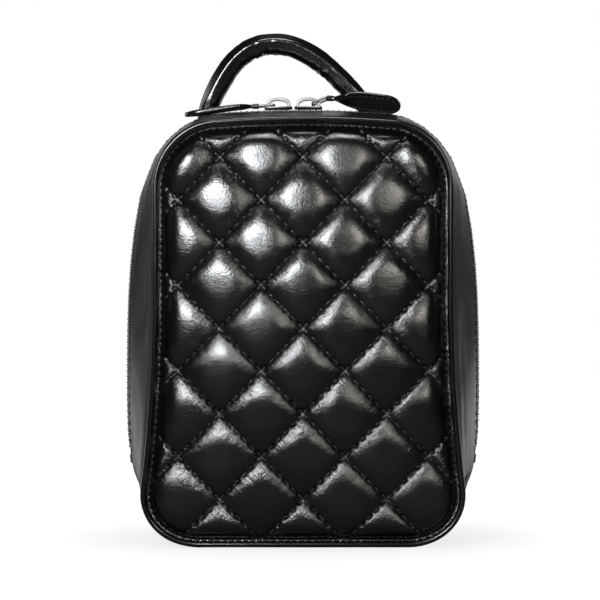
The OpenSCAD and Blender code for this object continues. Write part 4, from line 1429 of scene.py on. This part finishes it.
class CASE_OT_pocket(bpy.types.Operator):
    """Gathers the elastic necklace pocket"""
    bl_idname = "case.pocket"
    bl_label = "Necklace pocket"

    def execute(self, context):
        low, high = box_of("necklace_pocket")
        width, height = high.x - low.x, high.z - low.z
        nu, nv = 240, 20

        def place(i, j):
            t, h = i / nu, j / nv
            x = low.x + width * t
            ends = step(min(t, 1 - t) * width, 0, 9)
            bow = mix(high.y - 0.6, low.y + 0.9, ends)
            belly = 0.4 * math.sin(math.pi * h)
            swing = 0.55 + 0.5 * wave(x, 0, 0, 6, 3.3)
            ripple = 0.75 * math.sin(x * 2.3 + 1.3 * math.sin(x * 0.37))
            gather = ripple * swing * mix(0.75, 1.0, abs(2 * h - 1)) * ends
            hem = 0.25 * (1 - step(abs(h - 0.955), 0.02, 0.05))
            return x, bow - belly * ends + gather - hem * ends, low.z + height * h

        sheet = skin("pocket_velvet", nu, nv, place)
        area = sum(p.area for p in sheet.data.polygons)
        modify(sheet, "SOLIDIFY", thickness=0.5 * MM, offset=0.0)
        dress(sheet, "case", paint("velvet fittings"), "velvet_fittings", "necklace_pocket", smooth=60)
        area / (height * MM)
        return {"FINISHED"}


class CASE_OT_mirror(bpy.types.Operator):
    """Makes the stitched leather frame of the mirror and silvers its glass"""
    bl_idname = "case.mirror"
    bl_label = "Mirror"

    def execute(self, context):
        rim = round_edges(copy_of("mirror_frame", "mirror_frame_leather"), 0.5, 3, above=40)
        dress(rim, "cover", paint("trim leather"), "trim_leather", "mirror_frame", smooth=50)
        low, high = box_of("mirror_frame")
        inset, r = 2.0, 7.0
        x0, x1, z0, z1 = low.x + inset, high.x - inset, low.z + inset, high.z - inset
        corners = ((x1 - r, z0 + r, -90), (x1 - r, z1 - r, 0), (x0 + r, z1 - r, 90), (x0 + r, z0 + r, 180))
        path = []
        for cx, cz, first in corners:
            for a in range(0, 91, 15):
                turn = math.radians(first + a)
                path.append((cx + r * math.cos(turn), high.y + 0.02, cz + r * math.sin(turn)))
        seam = row("mirror_stitches", path + path[:1], 3.0, 2.2, 0.26, lambda i: (0, 1, 0))
        dress(seam, "cover", paint("thread"), "trim_leather")
        repaint(paint("mirror"), "mirror_glass")
        return {"FINISHED"}


# ---- stage ----

LAMPS = (       # name, place, aim, (width, height), watts, colour
    ("left_softbox", (-0.16, -0.50, 0.30), (-0.02, -0.04, 0.10), (0.165, 0.165), 3.2, (0.96, 0.98, 1.0)),
    ("right_softbox", (0.25, -0.60, 0.31), (0.02, -0.04, 0.10), (0.12, 0.14), 0.9, (1.0, 0.97, 0.87)),
    ("top_lamp", (0.0, -0.05, 0.85), (0, 0, 0.1), (0.30, 0.16), 2.0, (1, 1, 1)),
    ("left_side_lamp", (-0.80, 0.35, 0.40), (0, 0, 0.1), (0.45, 0.45), 1.4, (1, 1, 1)),
    ("right_side_lamp", (0.75, 0.50, 0.45), (0, 0, 0.1), (0.45, 0.45), 1.4, (1, 1, 1)),
)
DARK_ROOM, BACKDROP = (0.022, 0.022, 0.023), (1, 1, 1)
CAMERA_PLACE = (0, -0.94, 0.088)


def lamp(context, name, place, aim, size, power, colour):
    light = bpy.data.lights.new(name, "AREA")
    light.shape, light.size, light.size_y = "RECTANGLE", size[0], size[1]
    light.energy, light.color = power, colour
    piece = bpy.data.objects.new(name, light)
    context.scene.collection.objects.link(piece)
    piece.location = place
    piece.rotation_euler = (Vector(aim) - Vector(place)).to_track_quat("-Z", "Y").to_euler()


class CASE_OT_stage(bpy.types.Operator):
    """Sets the pale floor, with a soft shadow painted into its glow round the case, the soft lamps, the world
    and the camera
    """
    bl_idname = "case.stage"
    bl_label = "Stage"

    def execute(self, context):
        scene = context.scene
        bpy.ops.object.select_all(action="DESELECT")
        bpy.ops.mesh.primitive_plane_add(size=6, location=(0, 0, 0))
        floor = added("floor")
        p = Paint("pale floor")
        x, y, _ = p.parts(p.where())
        # Painted shadow: the floor's glow is painted darker within about 0.15 m of the middle, a soft shadow
        # round the case that the lamps do not cast.
        far = ((x * x + y * y) ** 0.5).between(0.04, 0.15)
        seen = p.bright(y.between(0.1, 0.7))
        glow_with_painted_shadow = p.node("CombineColor", None, *[seen * (0.80 + 0.20 * far)] * 3)
        floor.data.materials.append(p.surface(Base_Color=(0.09, 0.09, 0.09, 1), Roughness=0.9,
                                              Emission_Color=glow_with_painted_shadow, Emission_Strength=1.0,
                                              Specular_IOR_Level=0.1))

        world = bpy.data.worlds.new("studio")
        scene.world = world
        world.use_nodes = True
        w = Paint("world", world.node_tree)
        _, behind, _ = w.parts(w.where(GENERATED))
        seen = w.bright(behind.between(0.90, 0.995))
        w.feed(w.tree.nodes["Background"].inputs[0], w.blend(seen, DARK_ROOM, BACKDROP))

        for settings in LAMPS:
            lamp(context, *settings)

        camera = bpy.data.cameras.new("camera")
        camera.lens, camera.sensor_width = 135.0, 36.0
        camera.shift_x, camera.shift_y = -0.005, 0.0467
        piece = bpy.data.objects.new("camera", camera)
        scene.collection.objects.link(piece)
        piece.location = CAMERA_PLACE
        piece.rotation_euler = (math.pi / 2, 0, 0)
        scene.camera = piece
        scene.view_settings.view_transform = "Standard"
        return {"FINISHED"}


class CASE_PT_panel(bpy.types.Panel):
    """Lists the pieces of the jewellery case"""
    bl_idname = "CASE_PT_panel"
    bl_label = "Jewellery case"
    bl_space_type = "VIEW_3D"
    bl_region_type = "UI"
    bl_category = "Jewellery case"

    def draw(self, context):
        for group in (context.scene.case_form, context.scene.case_look):
            for name in group.__annotations__:
                self.layout.prop(group, name)
        for operator in OPERATORS:
            self.layout.operator(operator.bl_idname)


OPERATORS = (CASE_OT_quilting, CASE_OT_shell, CASE_OT_corner_webs, CASE_OT_bindings, CASE_OT_zip,
             CASE_OT_sliders, CASE_OT_pulls, CASE_OT_handle, CASE_OT_linings, CASE_OT_ring_rolls,
             CASE_OT_fittings, CASE_OT_pocket, CASE_OT_mirror, CASE_OT_stage)
CLASSES = (CaseForm, CaseLook, *OPERATORS, CASE_PT_panel)


def register():
    for c in CLASSES:
        bpy.utils.register_class(c)
    bpy.types.Scene.case_form = bpy.props.PointerProperty(type=CaseForm)
    bpy.types.Scene.case_look = bpy.props.PointerProperty(type=CaseLook)


def unregister():
    del bpy.types.Scene.case_form, bpy.types.Scene.case_look
    for c in reversed(CLASSES):
        bpy.utils.unregister_class(c)


def main():
    register()
    for operator in OPERATORS:
        group, name = operator.bl_idname.split(".")
        getattr(getattr(bpy.ops, group), name)()


if __name__ == "__main__":
    main()
